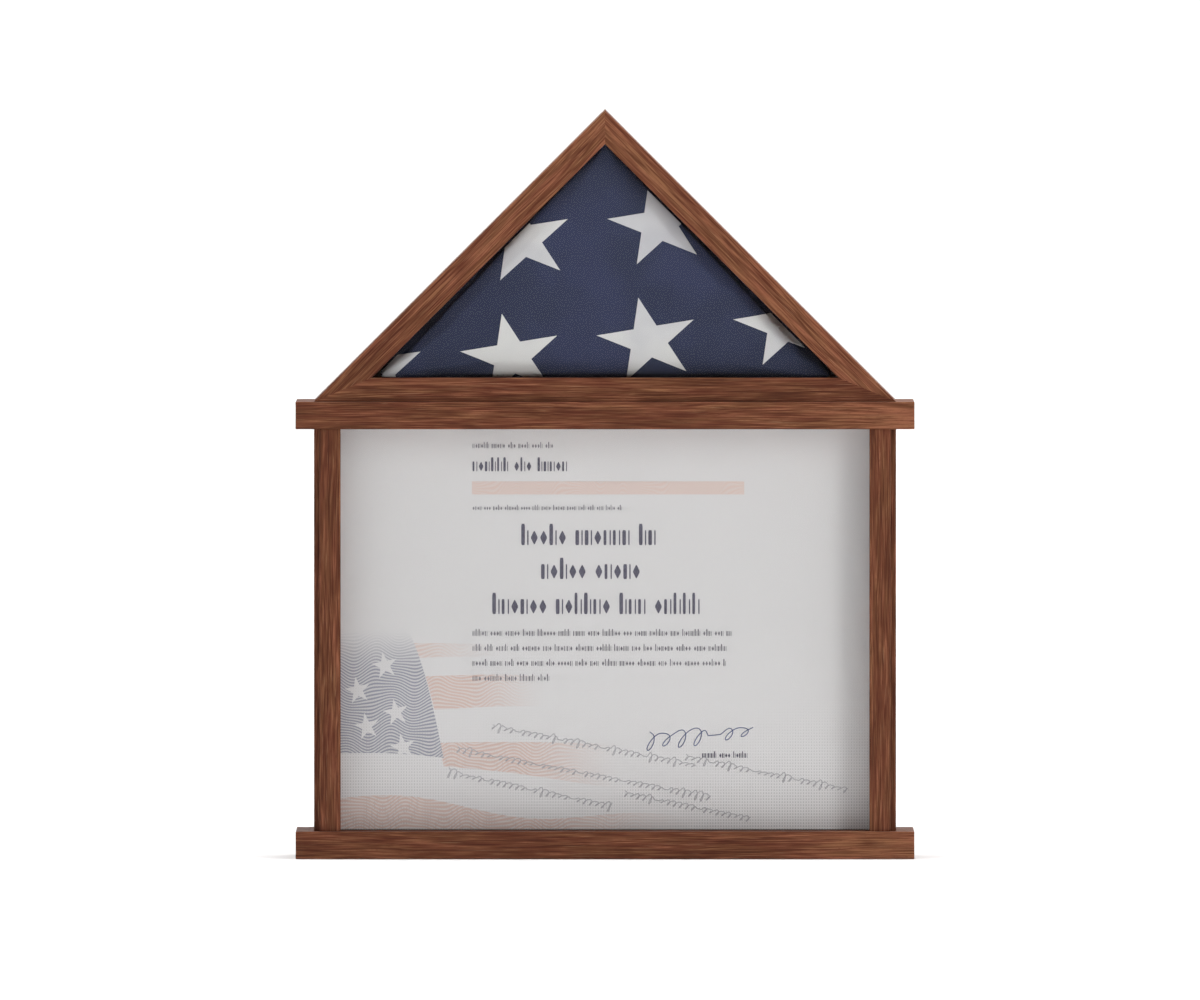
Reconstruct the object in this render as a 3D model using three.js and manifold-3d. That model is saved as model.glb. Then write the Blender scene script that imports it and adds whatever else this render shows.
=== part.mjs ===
// Folded flag display case with a document box below: a solid-wood case in two storeys.
// The lower storey is a box between a base rail and a shelf rail. It shows a document behind glass, and the
// document sits on a carrier that comes out at the back. The upper storey is a right-angled triangular case
// for a flag folded into a triangle, with its own glass and a lift-out back panel.
// Units are millimetres, +Z is up and the front faces -Y. The origin is the middle of the base rail's
// underside.
import * as THREE from "three";
import { mergeVertices } from "three/addons/utils/BufferGeometryUtils.js";
import Module from "manifold-3d";

const wasm = await Module();
wasm.setup();

// ---- Driving dimensions -------------------------------------------------------------------------

// Rails and case
const railWidth = 406;
const railDepth = 88;
const railHeight = 18;
const railOverhang = 12; // from the side of the document box and the flag case to a rail's end
const boxHeight = 264; // clear height between the two rails
const frontSetback = 4; // from a rail's front face to the case's front face
const rearSetback = 4; // from the case's back to a rail's back face, which keeps the hardware off a wall

// Document box
const sideBoardThickness = 12;
const stileWidth = 13.8;
const stileThickness = 8;
const stileInset = 3.7; // the side board's edge shows by this much beside the stile
const glassThickness = 2;
const glassGrooveDepth = 4; // how far the rails let the document glass in
const documentAirGap = 12.5; // between the glass and the document, kept by the side spacers

// Document carrier
const sheetThickness = 0.4;
const mountBoardThickness = 3;
const carrierRibThickness = 10;
const backPanelThickness = 3;

// Flag case
const flagFaceWidth = 15.65; // visible width of the mitred front frame
const flagWallThickness = 10;
const flagLipThickness = 6; // front to back, the lip that the glass rests behind
const glassBeadSize = 4;
const flagRabbetWidth = 3; // ledge for the back panel
const flagRearGap = 8.2; // between the flag and the back panel
const flagEdgeRound = 7;

// Turn buttons and their screws
const buttonWidth = 6.5;
const buttonLength = 26;
const buttonThickness = 1.5;
const buttonScrewRadius = 1.25;
const buttonScrewLength = 13;
const buttonScrewHeadRadius = 2.9;
const buttonScrewHeadHeight = 1.5;
const buttonEdgeMargin = 0.25; // from the case's outer edge to an open button

// Assembly screws
const screwRadius = 1.75;
const screwHeadRadius = 3.6;
const screwHeadHeight = 2.6;
const screwBite = 22; // length in a side board
const flagScrewBite = 7; // length in the flag frame's base
const screwEndMargin = 18; // from a side board's front and back edges
const flagScrewSpacing = 240;

// Clearances
const glueLine = 0.05; // between glued faces
const mitreGap = 0.2; // between mitred faces
const slipGap = 0.1; // between faces that only rest on each other
const fitGap = 0.5; // round loose pieces, such as glass and panels
const screwGap = 0.2; // round an assembly screw
const pivotGap = 0.1; // round a button's screw
const roundSegments = 16; // turn buttons and their screws
const screwSegments = 12; // assembly screws

// ---- Derived places -----------------------------------------------------------------------------

const caseWidth = railWidth - 2 * railOverhang;
const frontFace = -railDepth / 2 + frontSetback;
const rearFace = railDepth / 2 - rearSetback;
const boxBottom = railHeight;
const boxTop = boxBottom + boxHeight;
const shelfTop = boxTop + railHeight;
const flagBase = shelfTop + glueLine;

const boardOuter = caseWidth / 2;
const boardInner = boardOuter - sideBoardThickness;
const stileOuter = boardOuter - stileInset;
const windowEdge = stileOuter - stileWidth;
const boardFront = frontFace + stileThickness;
const glassFront = boardFront + slipGap;
const glassRear = glassFront + glassThickness;
const spacerFront = glassRear + slipGap;
const spacerRear = spacerFront + documentAirGap;
const spacerInner = windowEdge + fitGap;

const sheetFront = spacerRear + slipGap;
const mountBoardFront = sheetFront + sheetThickness + glueLine;
const ribFront = mountBoardFront + mountBoardThickness + glueLine;
const panelRear = rearFace - slipGap;
const panelFront = panelRear - backPanelThickness;
const ribRear = panelFront - glueLine;
const carrierSide = boardInner - fitGap;
const carrierBottom = boxBottom + fitGap;
const carrierTop = boxTop - fitGap;

const flagGlassFront = frontFace + flagLipThickness + slipGap;
const flagGlassRear = flagGlassFront + glassThickness;
const beadFront = flagGlassRear + slipGap;
const beadRear = beadFront + glassBeadSize;
const rabbetInset = flagWallThickness - flagRabbetWidth;
const rabbetFront = panelFront - slipGap;
const flagFront = beadRear + fitGap;
const flagRear = panelFront - flagRearGap;

const buttonFront = rearFace + slipGap;
const buttonRear = buttonFront + buttonThickness;
const screwHeadFront = buttonRear + slipGap;
const pivotInset = buttonEdgeMargin + buttonWidth / 2;
const boxPivot = boardInner + buttonEdgeMargin + buttonWidth / 2;
const cutRun = 5; // how far a cutting tool runs past a face

// ---- Materials ----------------------------------------------------------------------------------

const walnut = { color: 0x68402e, roughness: 0.5, metalness: 0 };
const glass = { color: 0xe8f0ee, roughness: 0.05, metalness: 0, transparent: true, opacity: 0.25 };
const hardboard = { color: 0x7a5638, roughness: 0.8, metalness: 0 };
const poplar = { color: 0xc9b088, roughness: 0.7, metalness: 0 };
const paper = { color: 0xcac9ca, roughness: 0.9, metalness: 0 };
const navyCloth = { color: 0x393c52, roughness: 0.95, metalness: 0 };
const brass = { color: 0xb5923f, roughness: 0.35, metalness: 1 };
const steel = { color: 0x9a9c9e, roughness: 0.35, metalness: 1 };

// ---- Geometry helpers ---------------------------------------------------------------------------

// A closed three.js geometry as a manifold-3d solid.
function solidOf(geometry) {
  const bare = geometry.clone();
  bare.deleteAttribute("normal");
  bare.deleteAttribute("uv");
  const merged = mergeVertices(bare, 1e-4);
  return new wasm.Manifold(
    new wasm.Mesh({
      numProp: 3,
      vertProperties: merged.attributes.position.array,
      triVerts: new Uint32Array(merged.index.array),
    }),
  );
}

// A manifold-3d solid as a three.js geometry.
function geometryOf(solid) {
  const mesh = solid.getMesh();
  const geometry = new THREE.BufferGeometry();
  geometry.setAttribute("position", new THREE.BufferAttribute(mesh.vertProperties, 3));
  geometry.setIndex(new THREE.BufferAttribute(mesh.triVerts, 1));
  geometry.computeVertexNormals();
  return geometry;
}

// A geometry with each tool's shape cut out of it.
function cut(geometry, tools) {
  return geometryOf(tools.reduce((rest, tool) => rest.subtract(solidOf(tool)), solidOf(geometry)));
}

// A block between two limits along each axis.
function block([x0, x1], [y0, y1], [z0, z1]) {
  return new THREE.BoxGeometry(x1 - x0, y1 - y0, z1 - z0).translate(
    (x0 + x1) / 2,
    (y0 + y1) / 2,
    (z0 + z1) / 2,
  );
}

// An outline drawn in X and Z, extruded from front to back.
function slab(outline, front, rear) {
  return new THREE.ExtrudeGeometry(outline, {
    depth: rear - front,
    bevelEnabled: false,
    curveSegments: roundSegments / 2,
  })
    .rotateX(Math.PI / 2)
    .translate(0, rear, 0);
}

// A solid of revolution about Z from [radius, height] pairs.
function turned(profile, segments) {
  return new THREE.LatheGeometry(
    profile.map(([radius, height]) => new THREE.Vector2(radius, height)),
    segments,
  ).rotateX(Math.PI / 2);
}

function mesh(name, geometry, material) {
  const made = new THREE.Mesh(geometry, new THREE.MeshStandardMaterial(material));
  made.name = name;
  return made;
}

// ---- Flag triangle ------------------------------------------------------------------------------

// Corners of the flag case's right-angled triangle, moved inwards by an inset: left, right and apex.
function triangleCorners(inset) {
  const halfBase = caseWidth / 2 - inset * (1 + Math.SQRT2);
  const bottom = flagBase + inset;
  return [
    new THREE.Vector2(-halfBase, bottom),
    new THREE.Vector2(halfBase, bottom),
    new THREE.Vector2(0, bottom + halfBase),
  ];
}

function trianglePlate(inset, front, rear) {
  return slab(new THREE.Shape(triangleCorners(inset)), front, rear);
}

const baseMitre = Math.PI / 8;
const apexMitre = Math.PI / 4;
const triangleSides = {
  base: { from: 0, to: 1, mitres: [baseMitre, baseMitre] },
  right: { from: 1, to: 2, mitres: [baseMitre, apexMitre] },
  left: { from: 2, to: 0, mitres: [apexMitre, baseMitre] },
};

// One mitred member of a triangular frame, between an outer and an inner inset.
function mitredMember(side, outerInset, innerInset, front, rear) {
  const { from, to, mitres } = triangleSides[side];
  const outer = triangleCorners(outerInset);
  const inner = triangleCorners(innerInset);
  const along = outer[to].clone().sub(outer[from]).normalize();
  const startTrim = mitreGap / 2 / Math.sin(mitres[0]);
  const endTrim = -mitreGap / 2 / Math.sin(mitres[1]);
  const trimmed = (corner, trim) => corner.clone().addScaledVector(along, trim);
  const outline = [
    trimmed(outer[from], startTrim),
    trimmed(outer[to], endTrim),
    trimmed(inner[to], endTrim),
    trimmed(inner[from], startTrim),
  ];
  return slab(new THREE.Shape(outline), front, rear);
}

// ---- Fasteners ----------------------------------------------------------------------------------

// A countersunk wood screw with its flat head at the origin and its point along +Z, or the hole for one
// when a gap is given.
function countersunkProfile(length, gap) {
  const shank = screwRadius + gap;
  const head = screwHeadRadius + gap;
  const mouth = gap > 0 ? -cutRun : 0;
  return [
    [0, mouth],
    [head, mouth],
    [head, 0.3],
    [shank, screwHeadHeight],
    [shank, length - 3 + gap],
    [gap > 0 ? shank : 0.3, length + gap],
    [0, length + gap],
  ];
}

function woodScrew(length) {
  const recess = 1.9;
  const blade = 0.9;
  const reach = screwHeadRadius * 1.1;
  return cut(turned(countersunkProfile(length, 0), screwSegments), [
    block([-reach / 2, reach / 2], [-blade / 2, blade / 2], [-cutRun, recess]),
    block([-blade / 2, blade / 2], [-reach / 2, reach / 2], [-cutRun, recess]),
  ]);
}

function woodScrewHole(length) {
  return turned(countersunkProfile(length, screwGap), screwSegments);
}

// A domed, slotted screw for a turn button. Its head's underside is at the origin and its point is along +Z.
function buttonScrew() {
  const crown = -buttonScrewHeadHeight;
  const slotWidth = 0.7;
  const slotDepth = 0.8;
  const head = [0.25, 0.5, 0.75].map((step) => {
    const angle = (step * Math.PI) / 2;
    return [buttonScrewHeadRadius * Math.sin(angle), crown * Math.cos(angle)];
  });
  const profile = [
    [0, crown],
    ...head,
    [buttonScrewHeadRadius, 0],
    [buttonScrewRadius, 0],
    [buttonScrewRadius, buttonScrewLength - 2.5],
    [0.25, buttonScrewLength],
    [0, buttonScrewLength],
  ];
  const half = buttonScrewHeadRadius + cutRun;
  const slot = block([-half, half], [-slotWidth / 2, slotWidth / 2], [crown - cutRun, crown + slotDepth]);
  return cut(turned(profile, roundSegments), [slot]);
}

// The pilot hole for a button's screw, bored forwards from the case's back face.
function pilotHole(x, z) {
  const radius = buttonScrewRadius + screwGap;
  const depth = buttonScrewLength - (screwHeadFront - rearFace) + fitGap;
  return new THREE.CylinderGeometry(radius, radius, depth + cutRun, roundSegments).translate(
    x,
    rearFace + (cutRun - depth) / 2,
    z,
  );
}

// A flat turn button with round ends. It pivots at the origin and points along +X.
function turnButton() {
  const radius = buttonWidth / 2;
  const outline = new THREE.Shape();
  outline.absarc(0, 0, radius, Math.PI / 2, -Math.PI / 2, false);
  outline.absarc(buttonLength - buttonWidth, 0, radius, -Math.PI / 2, Math.PI / 2, false);
  const hole = new THREE.Path();
  hole.absarc(0, 0, buttonScrewRadius + pivotGap, 0, 2 * Math.PI, true);
  outline.holes.push(hole);
  return slab(outline, 0, buttonThickness);
}

// Each button's pivot on the case's back face, and the way it points while it is open.
const slopePivot = triangleCorners(pivotInset);
const slopeMiddle = slopePivot[1].clone().add(slopePivot[2]).divideScalar(2);
const buttons = [
  { place: "document_lower_left", x: -boxPivot, z: boxBottom + boxHeight / 4, points: -90 },
  { place: "document_lower_right", x: boxPivot, z: boxBottom + boxHeight / 4, points: -90 },
  { place: "document_upper_left", x: -boxPivot, z: boxTop - boxHeight / 4, points: -90 },
  { place: "document_upper_right", x: boxPivot, z: boxTop - boxHeight / 4, points: -90 },
  { place: "flag_left", x: -slopeMiddle.x, z: slopeMiddle.y, points: -135 },
  { place: "flag_right", x: slopeMiddle.x, z: slopeMiddle.y, points: -45 },
  { place: "flag_base", x: 0, z: flagBase + pivotInset, points: 0 },
];
const pilotHoles = (test) => buttons.filter(({ place }) => test(place)).map(({ x, z }) => pilotHole(x, z));

// ---- Document box -------------------------------------------------------------------------------

const sideScrewX = (boardOuter + boardInner) / 2;
const sideScrewYs = [boardFront + screwEndMargin, rearFace - screwEndMargin];
const sideScrewLength = railHeight + screwBite;
const flagScrewLength = railHeight + flagScrewBite;
const flagScrewY = (ribFront + ribRear) / 2;

// Each assembly screw: where its head is, and whether it points up or down.
const screws = [];
for (const [side, x] of [
  ["left", -sideScrewX],
  ["right", sideScrewX],
]) {
  sideScrewYs.forEach((y, i) => {
    const end = i === 0 ? "front" : "rear";
    screws.push({ name: `base_screw_${side}_${end}`, x, y, z: 0, up: true, length: sideScrewLength });
    screws.push({
      name: `shelf_screw_${side}_${end}`,
      x,
      y,
      z: shelfTop,
      up: false,
      length: sideScrewLength,
    });
  });
  const flagX = (Math.sign(x) * flagScrewSpacing) / 2;
  screws.push({
    name: `flag_case_screw_${side}`,
    x: flagX,
    y: flagScrewY,
    z: boxTop,
    up: true,
    length: flagScrewLength,
  });
}

// The holes for the screws whose names start with one of the given words.
function screwHoles(...words) {
  return screws
    .filter(({ name }) => words.some((word) => name.startsWith(word)))
    .map(({ x, y, z, up, length }) =>
      woodScrewHole(length)
        .rotateX(up ? 0 : Math.PI)
        .translate(x, y, z),
    );
}

function glassGroove(z0, z1) {
  return block([-boardInner, boardInner], [boardFront, glassRear + slipGap], [z0, z1]);
}

function rail(z0, groove, holes) {
  const halfWidth = railWidth / 2;
  const halfDepth = railDepth / 2;
  const shape = block([-halfWidth, halfWidth], [-halfDepth, halfDepth], [z0, z0 + railHeight]);
  return cut(shape, [groove, ...holes]);
}

function mirrored([near, far], side) {
  return side < 0 ? [-far, -near] : [near, far];
}

function documentBox() {
  const group = new THREE.Group();
  const uprightZ = [boxBottom + glueLine, boxTop - glueLine];
  const baseGroove = glassGroove(boxBottom - glassGrooveDepth, boxBottom + cutRun);
  const shelfGroove = glassGroove(boxTop - cutRun, boxTop + glassGrooveDepth);
  group.add(
    mesh("base_rail", rail(0, baseGroove, screwHoles("base")), walnut),
    mesh("shelf_rail", rail(boxTop, shelfGroove, screwHoles("shelf", "flag")), walnut),
  );
  for (const [name, side] of [
    ["left", -1],
    ["right", 1],
  ]) {
    const board = block(mirrored([boardInner, boardOuter], side), [boardFront, rearFace], uprightZ);
    const holes = [
      ...screwHoles(`base_screw_${name}`, `shelf_screw_${name}`),
      ...pilotHoles((place) => place.startsWith("document") && place.endsWith(name)),
    ];
    const stile = block(
      mirrored([windowEdge, stileOuter], side),
      [frontFace, boardFront - glueLine],
      uprightZ,
    );
    const spacer = block(
      mirrored([spacerInner, boardInner - glueLine], side),
      [spacerFront, spacerRear],
      uprightZ,
    );
    group.add(
      mesh(`side_board_${name}`, cut(board, holes), walnut),
      mesh(`face_stile_${name}`, stile, walnut),
      mesh(`document_spacer_${name}`, spacer, walnut),
    );
  }
  const glassReach = glassGrooveDepth - fitGap;
  const glassPlate = block(
    [-boardInner + fitGap, boardInner - fitGap],
    [glassFront, glassRear],
    [boxBottom - glassReach, boxTop + glassReach],
  );
  group.add(mesh("document_glazing", glassPlate, glass));
  return group;
}

function documentCarrier() {
  const group = new THREE.Group();
  const width = [-carrierSide, carrierSide];
  const height = [carrierBottom, carrierTop];
  const ribInner = carrierSide - carrierRibThickness;
  const crossWidth = [-ribInner + glueLine, ribInner - glueLine];
  const depth = [ribFront, ribRear];
  group.add(
    mesh("document_sheet", block(width, [sheetFront, sheetFront + sheetThickness], height), paper),
    mesh(
      "document_mount_board",
      block(width, [mountBoardFront, mountBoardFront + mountBoardThickness], height),
      hardboard,
    ),
    mesh("carrier_rib_left", block([-carrierSide, -ribInner], depth, height), poplar),
    mesh("carrier_rib_right", block([ribInner, carrierSide], depth, height), poplar),
    mesh(
      "carrier_rib_bottom",
      block(crossWidth, depth, [carrierBottom, carrierBottom + carrierRibThickness]),
      poplar,
    ),
    mesh(
      "carrier_rib_top",
      block(crossWidth, depth, [carrierTop - carrierRibThickness, carrierTop]),
      poplar,
    ),
    mesh("carrier_back_panel", block(width, [panelFront, panelRear], height), hardboard),
  );
  return group;
}

// ---- Flag case ----------------------------------------------------------------------------------

function flagCase() {
  const group = new THREE.Group();
  const cavity = trianglePlate(flagWallThickness, frontFace + flagLipThickness, rearFace + cutRun);
  const rabbet = trianglePlate(rabbetInset, rabbetFront, rearFace + cutRun);
  for (const side of Object.keys(triangleSides)) {
    const blank = mitredMember(side, 0, flagFaceWidth, frontFace, rearFace);
    const holes = pilotHoles((place) => place === `flag_${side}`);
    if (side === "base") holes.push(...screwHoles("flag"));
    const bead = mitredMember(
      side,
      flagWallThickness + glueLine,
      flagWallThickness + glassBeadSize,
      beadFront,
      beadRear,
    );
    group.add(
      mesh(`flag_frame_${side}`, cut(blank, [cavity, rabbet, ...holes]), walnut),
      mesh(`flag_glass_bead_${side}`, bead, walnut),
    );
  }
  group.add(
    mesh("flag_glazing", trianglePlate(flagWallThickness + fitGap, flagGlassFront, flagGlassRear), glass),
    mesh("flag_back_panel", trianglePlate(rabbetInset + fitGap, panelFront, panelRear), hardboard),
  );
  return group;
}

// The folded flag: a triangular bundle with rounded edges between the glass beads and the back panel.
function foldedFlag() {
  const inset = flagWallThickness + 2 * fitGap;
  const outline = new THREE.Shape(triangleCorners(inset + flagEdgeRound));
  const geometry = new THREE.ExtrudeGeometry(outline, {
    depth: flagRear - flagFront - 2 * flagEdgeRound,
    bevelThickness: flagEdgeRound,
    bevelSize: flagEdgeRound,
    bevelSegments: 4,
  });
  const placed = geometry.rotateX(Math.PI / 2).translate(0, flagRear - flagEdgeRound, 0);
  return mesh("folded_flag", placed, navyCloth);
}

// ---- Hardware -----------------------------------------------------------------------------------

function turnButtons() {
  const group = new THREE.Group();
  for (const { place, x, z, points } of buttons) {
    const button = mesh(`turn_button_${place}`, turnButton(), brass);
    button.position.set(x, buttonFront, z);
    button.rotation.y = THREE.MathUtils.degToRad(-points);
    const screw = mesh(`turn_button_screw_${place}`, buttonScrew(), brass);
    screw.position.set(x, screwHeadFront, z);
    screw.rotation.x = Math.PI / 2;
    group.add(button, screw);
  }
  return group;
}

function assemblyScrews() {
  const group = new THREE.Group();
  for (const { name, x, y, z, up, length } of screws) {
    const screw = mesh(name, woodScrew(length), steel);
    screw.position.set(x, y, z);
    screw.rotation.x = up ? 0 : Math.PI;
    group.add(screw);
  }
  return group;
}

const flagDisplayCase = new THREE.Group();
flagDisplayCase.add(
  documentBox(),
  documentCarrier(),
  flagCase(),
  foldedFlag(),
  turnButtons(),
  assemblyScrews(),
);

export default flagDisplayCase;
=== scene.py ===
"""Looks of a folded flag display case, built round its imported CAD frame.

The case is solid stained walnut in two storeys. The lower one shows a printed document behind glass, on a
carrier that comes out at the back. The upper one is a triangular case with a flag folded into a triangle.
Lengths are in metres, or in millimetres where they go through mm(). +Z is up and the front faces -Y.
"""

import logging
import math
import random
from collections.abc import Callable, Iterator
from contextlib import contextmanager
from dataclasses import dataclass, field
from enum import Enum
from functools import partial

import bmesh
import bpy
from mathutils import Euler, Matrix, Vector


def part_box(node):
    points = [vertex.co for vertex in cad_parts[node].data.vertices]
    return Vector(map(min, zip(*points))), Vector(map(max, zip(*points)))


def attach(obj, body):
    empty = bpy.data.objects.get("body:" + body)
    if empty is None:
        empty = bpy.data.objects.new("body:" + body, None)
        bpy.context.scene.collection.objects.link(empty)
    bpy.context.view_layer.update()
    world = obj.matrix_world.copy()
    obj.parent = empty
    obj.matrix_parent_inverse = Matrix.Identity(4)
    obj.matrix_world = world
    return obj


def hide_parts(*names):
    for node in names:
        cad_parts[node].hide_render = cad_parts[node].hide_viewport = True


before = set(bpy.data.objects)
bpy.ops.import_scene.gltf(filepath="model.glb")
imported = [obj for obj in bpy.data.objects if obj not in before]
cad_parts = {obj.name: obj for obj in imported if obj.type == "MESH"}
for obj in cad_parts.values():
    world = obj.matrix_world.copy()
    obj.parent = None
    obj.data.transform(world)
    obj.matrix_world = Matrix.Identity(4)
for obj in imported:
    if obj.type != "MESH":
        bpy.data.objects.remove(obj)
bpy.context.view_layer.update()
LOG = logging.getLogger("flag_case")

CASE = "case"
CARRIER = "document_carrier"
PANEL = "flag_panel"

Piece = bpy.types.Object
Material = bpy.types.Material
Socket = bpy.types.NodeSocket
AddNode = Callable[..., Socket]  # add_node for one material's tree


def mm(length: float) -> float:
    """Millimetres as metres."""
    return length / 1000.0


# ---- Modelling helpers -----------------------------------------------------------------------------------


def deselect() -> None:
    """Leaves nothing selected, so that an operator acts only on what is picked next."""
    bpy.ops.object.select_all(action="DESELECT")


def pick(*objects: Piece) -> None:
    """Selects these objects alone and makes the first one active.

    Args:
        objects: what the next operator acts on.
    """
    deselect()
    for obj in objects:
        obj.select_set(True)
    bpy.context.view_layer.objects.active = objects[0]


def discard(*objects: Piece) -> None:
    """Throws away tools and patterns that have done their work."""
    for obj in objects:
        bpy.data.objects.remove(obj, do_unlink=True)


@contextmanager
def edit_mode(obj: Piece) -> Iterator[None]:
    """Edit mode on one object, with all of it selected at the start.

    Args:
        obj: the mesh object to edit.
    """
    pick(obj)
    bpy.ops.object.mode_set(mode="EDIT")
    bpy.ops.mesh.select_mode(type="VERT")
    bpy.ops.mesh.select_all(action="SELECT")
    yield
    bpy.ops.object.mode_set(mode="OBJECT")


def select_where(kind: str, test: Callable[[object], bool]) -> None:
    """Selects the faces, edges or vertices of the mesh in edit mode that pass a test.

    Args:
        kind: "FACE", "EDGE" or "VERT".
        test: what an element has to pass.
    """
    bpy.ops.mesh.select_mode(type=kind)
    bpy.ops.mesh.select_all(action="DESELECT")
    made = bmesh.from_edit_mesh(bpy.context.object.data)
    for element in {"FACE": made.faces, "EDGE": made.edges, "VERT": made.verts}[kind]:
        if test(element):
            element.select_set(True)
    made.select_flush_mode()
    bmesh.update_edit_mesh(bpy.context.object.data)


def centre_of(element: object) -> Vector:
    """The middle of a bmesh edge or face."""
    return sum((vert.co for vert in element.verts), Vector()) / len(element.verts)


def run_of(edge: object) -> Vector:
    """How far a bmesh edge runs along each axis."""
    first, last = edge.verts
    return Vector(abs(step) for step in first.co - last.co)


def saw(cuts: list[tuple[Vector, Vector]], **settings: object) -> None:
    """Saws the whole mesh in edit mode by one plane after another.

    Args:
        cuts: a point and a normal for each plane.
        settings: what the bisect operator does with the two halves.
    """
    for place, normal in cuts:
        bpy.ops.mesh.select_all(action="SELECT")
        bpy.ops.mesh.bisect(plane_co=place, plane_no=normal, **settings)


def turn_outwards() -> None:
    """Turns the faces of the mesh in edit mode to its outside."""
    bpy.ops.mesh.select_all(action="SELECT")
    bpy.ops.mesh.normals_make_consistent(inside=False)


def named(name: str, obj: Piece | None = None) -> Piece:
    """An object and its mesh, given this name.

    Args:
        name: the name.
        obj: the object, if it isn't the active one.

    Returns:
        The object.
    """
    obj = obj or bpy.context.object
    obj.name = name
    obj.data.name = name
    return obj


def settle(obj: Piece) -> Piece:
    """Puts an object's place, turn and size into its mesh, so that it sits at the origin.

    Args:
        obj: the object.

    Returns:
        The object.
    """
    pick(obj)
    bpy.ops.object.transform_apply(location=True, rotation=True, scale=True)
    return obj


def block(name: str, low: Vector, high: Vector) -> Piece:
    """A block between two corners.

    Args:
        name: the new object's name.
        low: lowest corner.
        high: highest corner.

    Returns:
        The block, with its place in its mesh.
    """
    deselect()
    bpy.ops.mesh.primitive_cube_add(size=1, location=(low + high) / 2, scale=high - low)
    return settle(named(name))


def round_edges(obj: Piece, radius: float, segments: int = 3) -> None:
    """Rounds every edge of a piece that is still a sharp block.

    Args:
        obj: the piece.
        radius: how far the rounding reaches in from each edge.
        segments: steps in the rounding.
    """
    with edit_mode(obj):
        bpy.ops.mesh.bevel(offset=radius, segments=segments, affect="EDGES", clamp_overlap=True)


def modify(obj: Piece, label: str, kind: str, **settings: object) -> None:
    """Adds a modifier to an object and applies it.

    Args:
        obj: the object.
        label: what the modifier does here.
        kind: the modifier's type.
        settings: its own properties.
    """
    modifier = obj.modifiers.new(label, kind)
    for name, value in settings.items():
        setattr(modifier, name, value)
    pick(obj)
    bpy.ops.object.modifier_apply(modifier=modifier.name)


def carve(obj: Piece, tools: list[Piece]) -> None:
    """Cuts the shape of each tool out of a piece and throws the tools away.

    Args:
        obj: the piece.
        tools: closed meshes.
    """
    for tool in tools:
        modify(obj, "cut", "BOOLEAN", operation="DIFFERENCE", solver="EXACT", object=tool)
    discard(*tools)


def smooth(obj: Piece, degrees: float = 35.0) -> None:
    """Shades a piece smooth, apart from its sharp edges, and keeps its flat faces flat.

    Args:
        obj: the piece.
        degrees: the angle from which an edge stays sharp.
    """
    pick(obj)
    bpy.ops.object.shade_smooth_by_angle(angle=math.radians(degrees))
    modify(obj, "flat_faces", "WEIGHTED_NORMAL", keep_sharp=True)


def joined(name: str, parts: list[Piece]) -> Piece:
    """Several objects as one.

    Args:
        name: the new name.
        parts: the objects.

    Returns:
        The joined object.
    """
    pick(*parts)
    bpy.ops.object.join()
    return named(name)


def copy_of(obj: Piece, name: str, place: Matrix) -> Piece:
    """A copy with its own mesh, moved to a place.

    Args:
        obj: what to copy.
        name: the copy's name.
        place: where the copy goes.

    Returns:
        The copy, with its place in its mesh.
    """
    made = obj.copy()
    made.data = obj.data.copy()
    bpy.context.scene.collection.objects.link(made)
    made.data.transform(place)
    return named(name, made)


def wear(obj: Piece, material: Material) -> None:
    """Gives a piece one material."""
    obj.data.materials.clear()
    obj.data.materials.append(material)


def mount(obj: Piece, material: Material, body: str, slot: str, *nodes: str) -> None:
    """Dresses a finished piece, fastens it to a CAD body and says which CAD nodes it stands for.

    Args:
        obj: the piece.
        material: its finish.
        body: the CAD body that it moves with.
        slot: the record's material slot.
        nodes: CAD nodes that it replaces.
    """
    wear(obj, material)
    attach(obj, body)
    if nodes:
        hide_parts(*nodes)
    LOG.info("%s: %d faces on %s", obj.name, len(obj.data.polygons), body)


# ---- Materials -------------------------------------------------------------------------------------------


def colour(code: str) -> tuple[float, float, float, float]:
    """An sRGB hex colour as linear RGBA.

    Args:
        code: the colour, such as "68402e".

    Returns:
        Red, green, blue and alpha.
    """
    channels = [int(code[i : i + 2], 16) / 255.0 for i in (0, 2, 4)]
    linear = [c / 12.92 if c <= 0.04045 else ((c + 0.055) / 1.055) ** 2.4 for c in channels]
    return (*linear, 1.0)


def add_node(
    tree: bpy.types.NodeTree,
    kind: str,
    inputs: dict,
    stops: tuple[tuple[float, str], ...] = (),
    out: str = "",
    **settings: object,
) -> Socket | None:
    """Adds one node with its settings and links.

    Args:
        tree: the material's node tree.
        kind: the node's type, without its ShaderNode prefix.
        inputs: input name or number to a value, or to the socket that feeds it.
        stops: a colour ramp's stops, as (position, hex colour).
        out: the output to return, if it isn't the first one in use.
        settings: the node's own properties.

    Returns:
        One of the node's outputs, if it has any.
    """
    node = tree.nodes.new("ShaderNode" + kind)
    for name, value in settings.items():
        setattr(node, name, value)
    for key, value in inputs.items():
        if isinstance(value, Socket):
            tree.links.new(value, node.inputs[key])
        else:
            node.inputs[key].default_value = value
    for index, (position, code) in enumerate(stops):
        ramp = node.color_ramp.elements
        stop = ramp[index] if index < len(ramp) else ramp.new(position)
        stop.position = position
        stop.color = colour(code)
    return node.outputs[out] if out else next((socket for socket in node.outputs if socket.enabled), None)


def new_material(name: str) -> tuple[Material, AddNode]:
    """A material with an empty tree.

    Args:
        name: the material's name.

    Returns:
        The material, and add_node for its tree.
    """
    material = bpy.data.materials.new(name)
    material.use_nodes = True
    material.node_tree.nodes.clear()
    return material, partial(add_node, material.node_tree)


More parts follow.
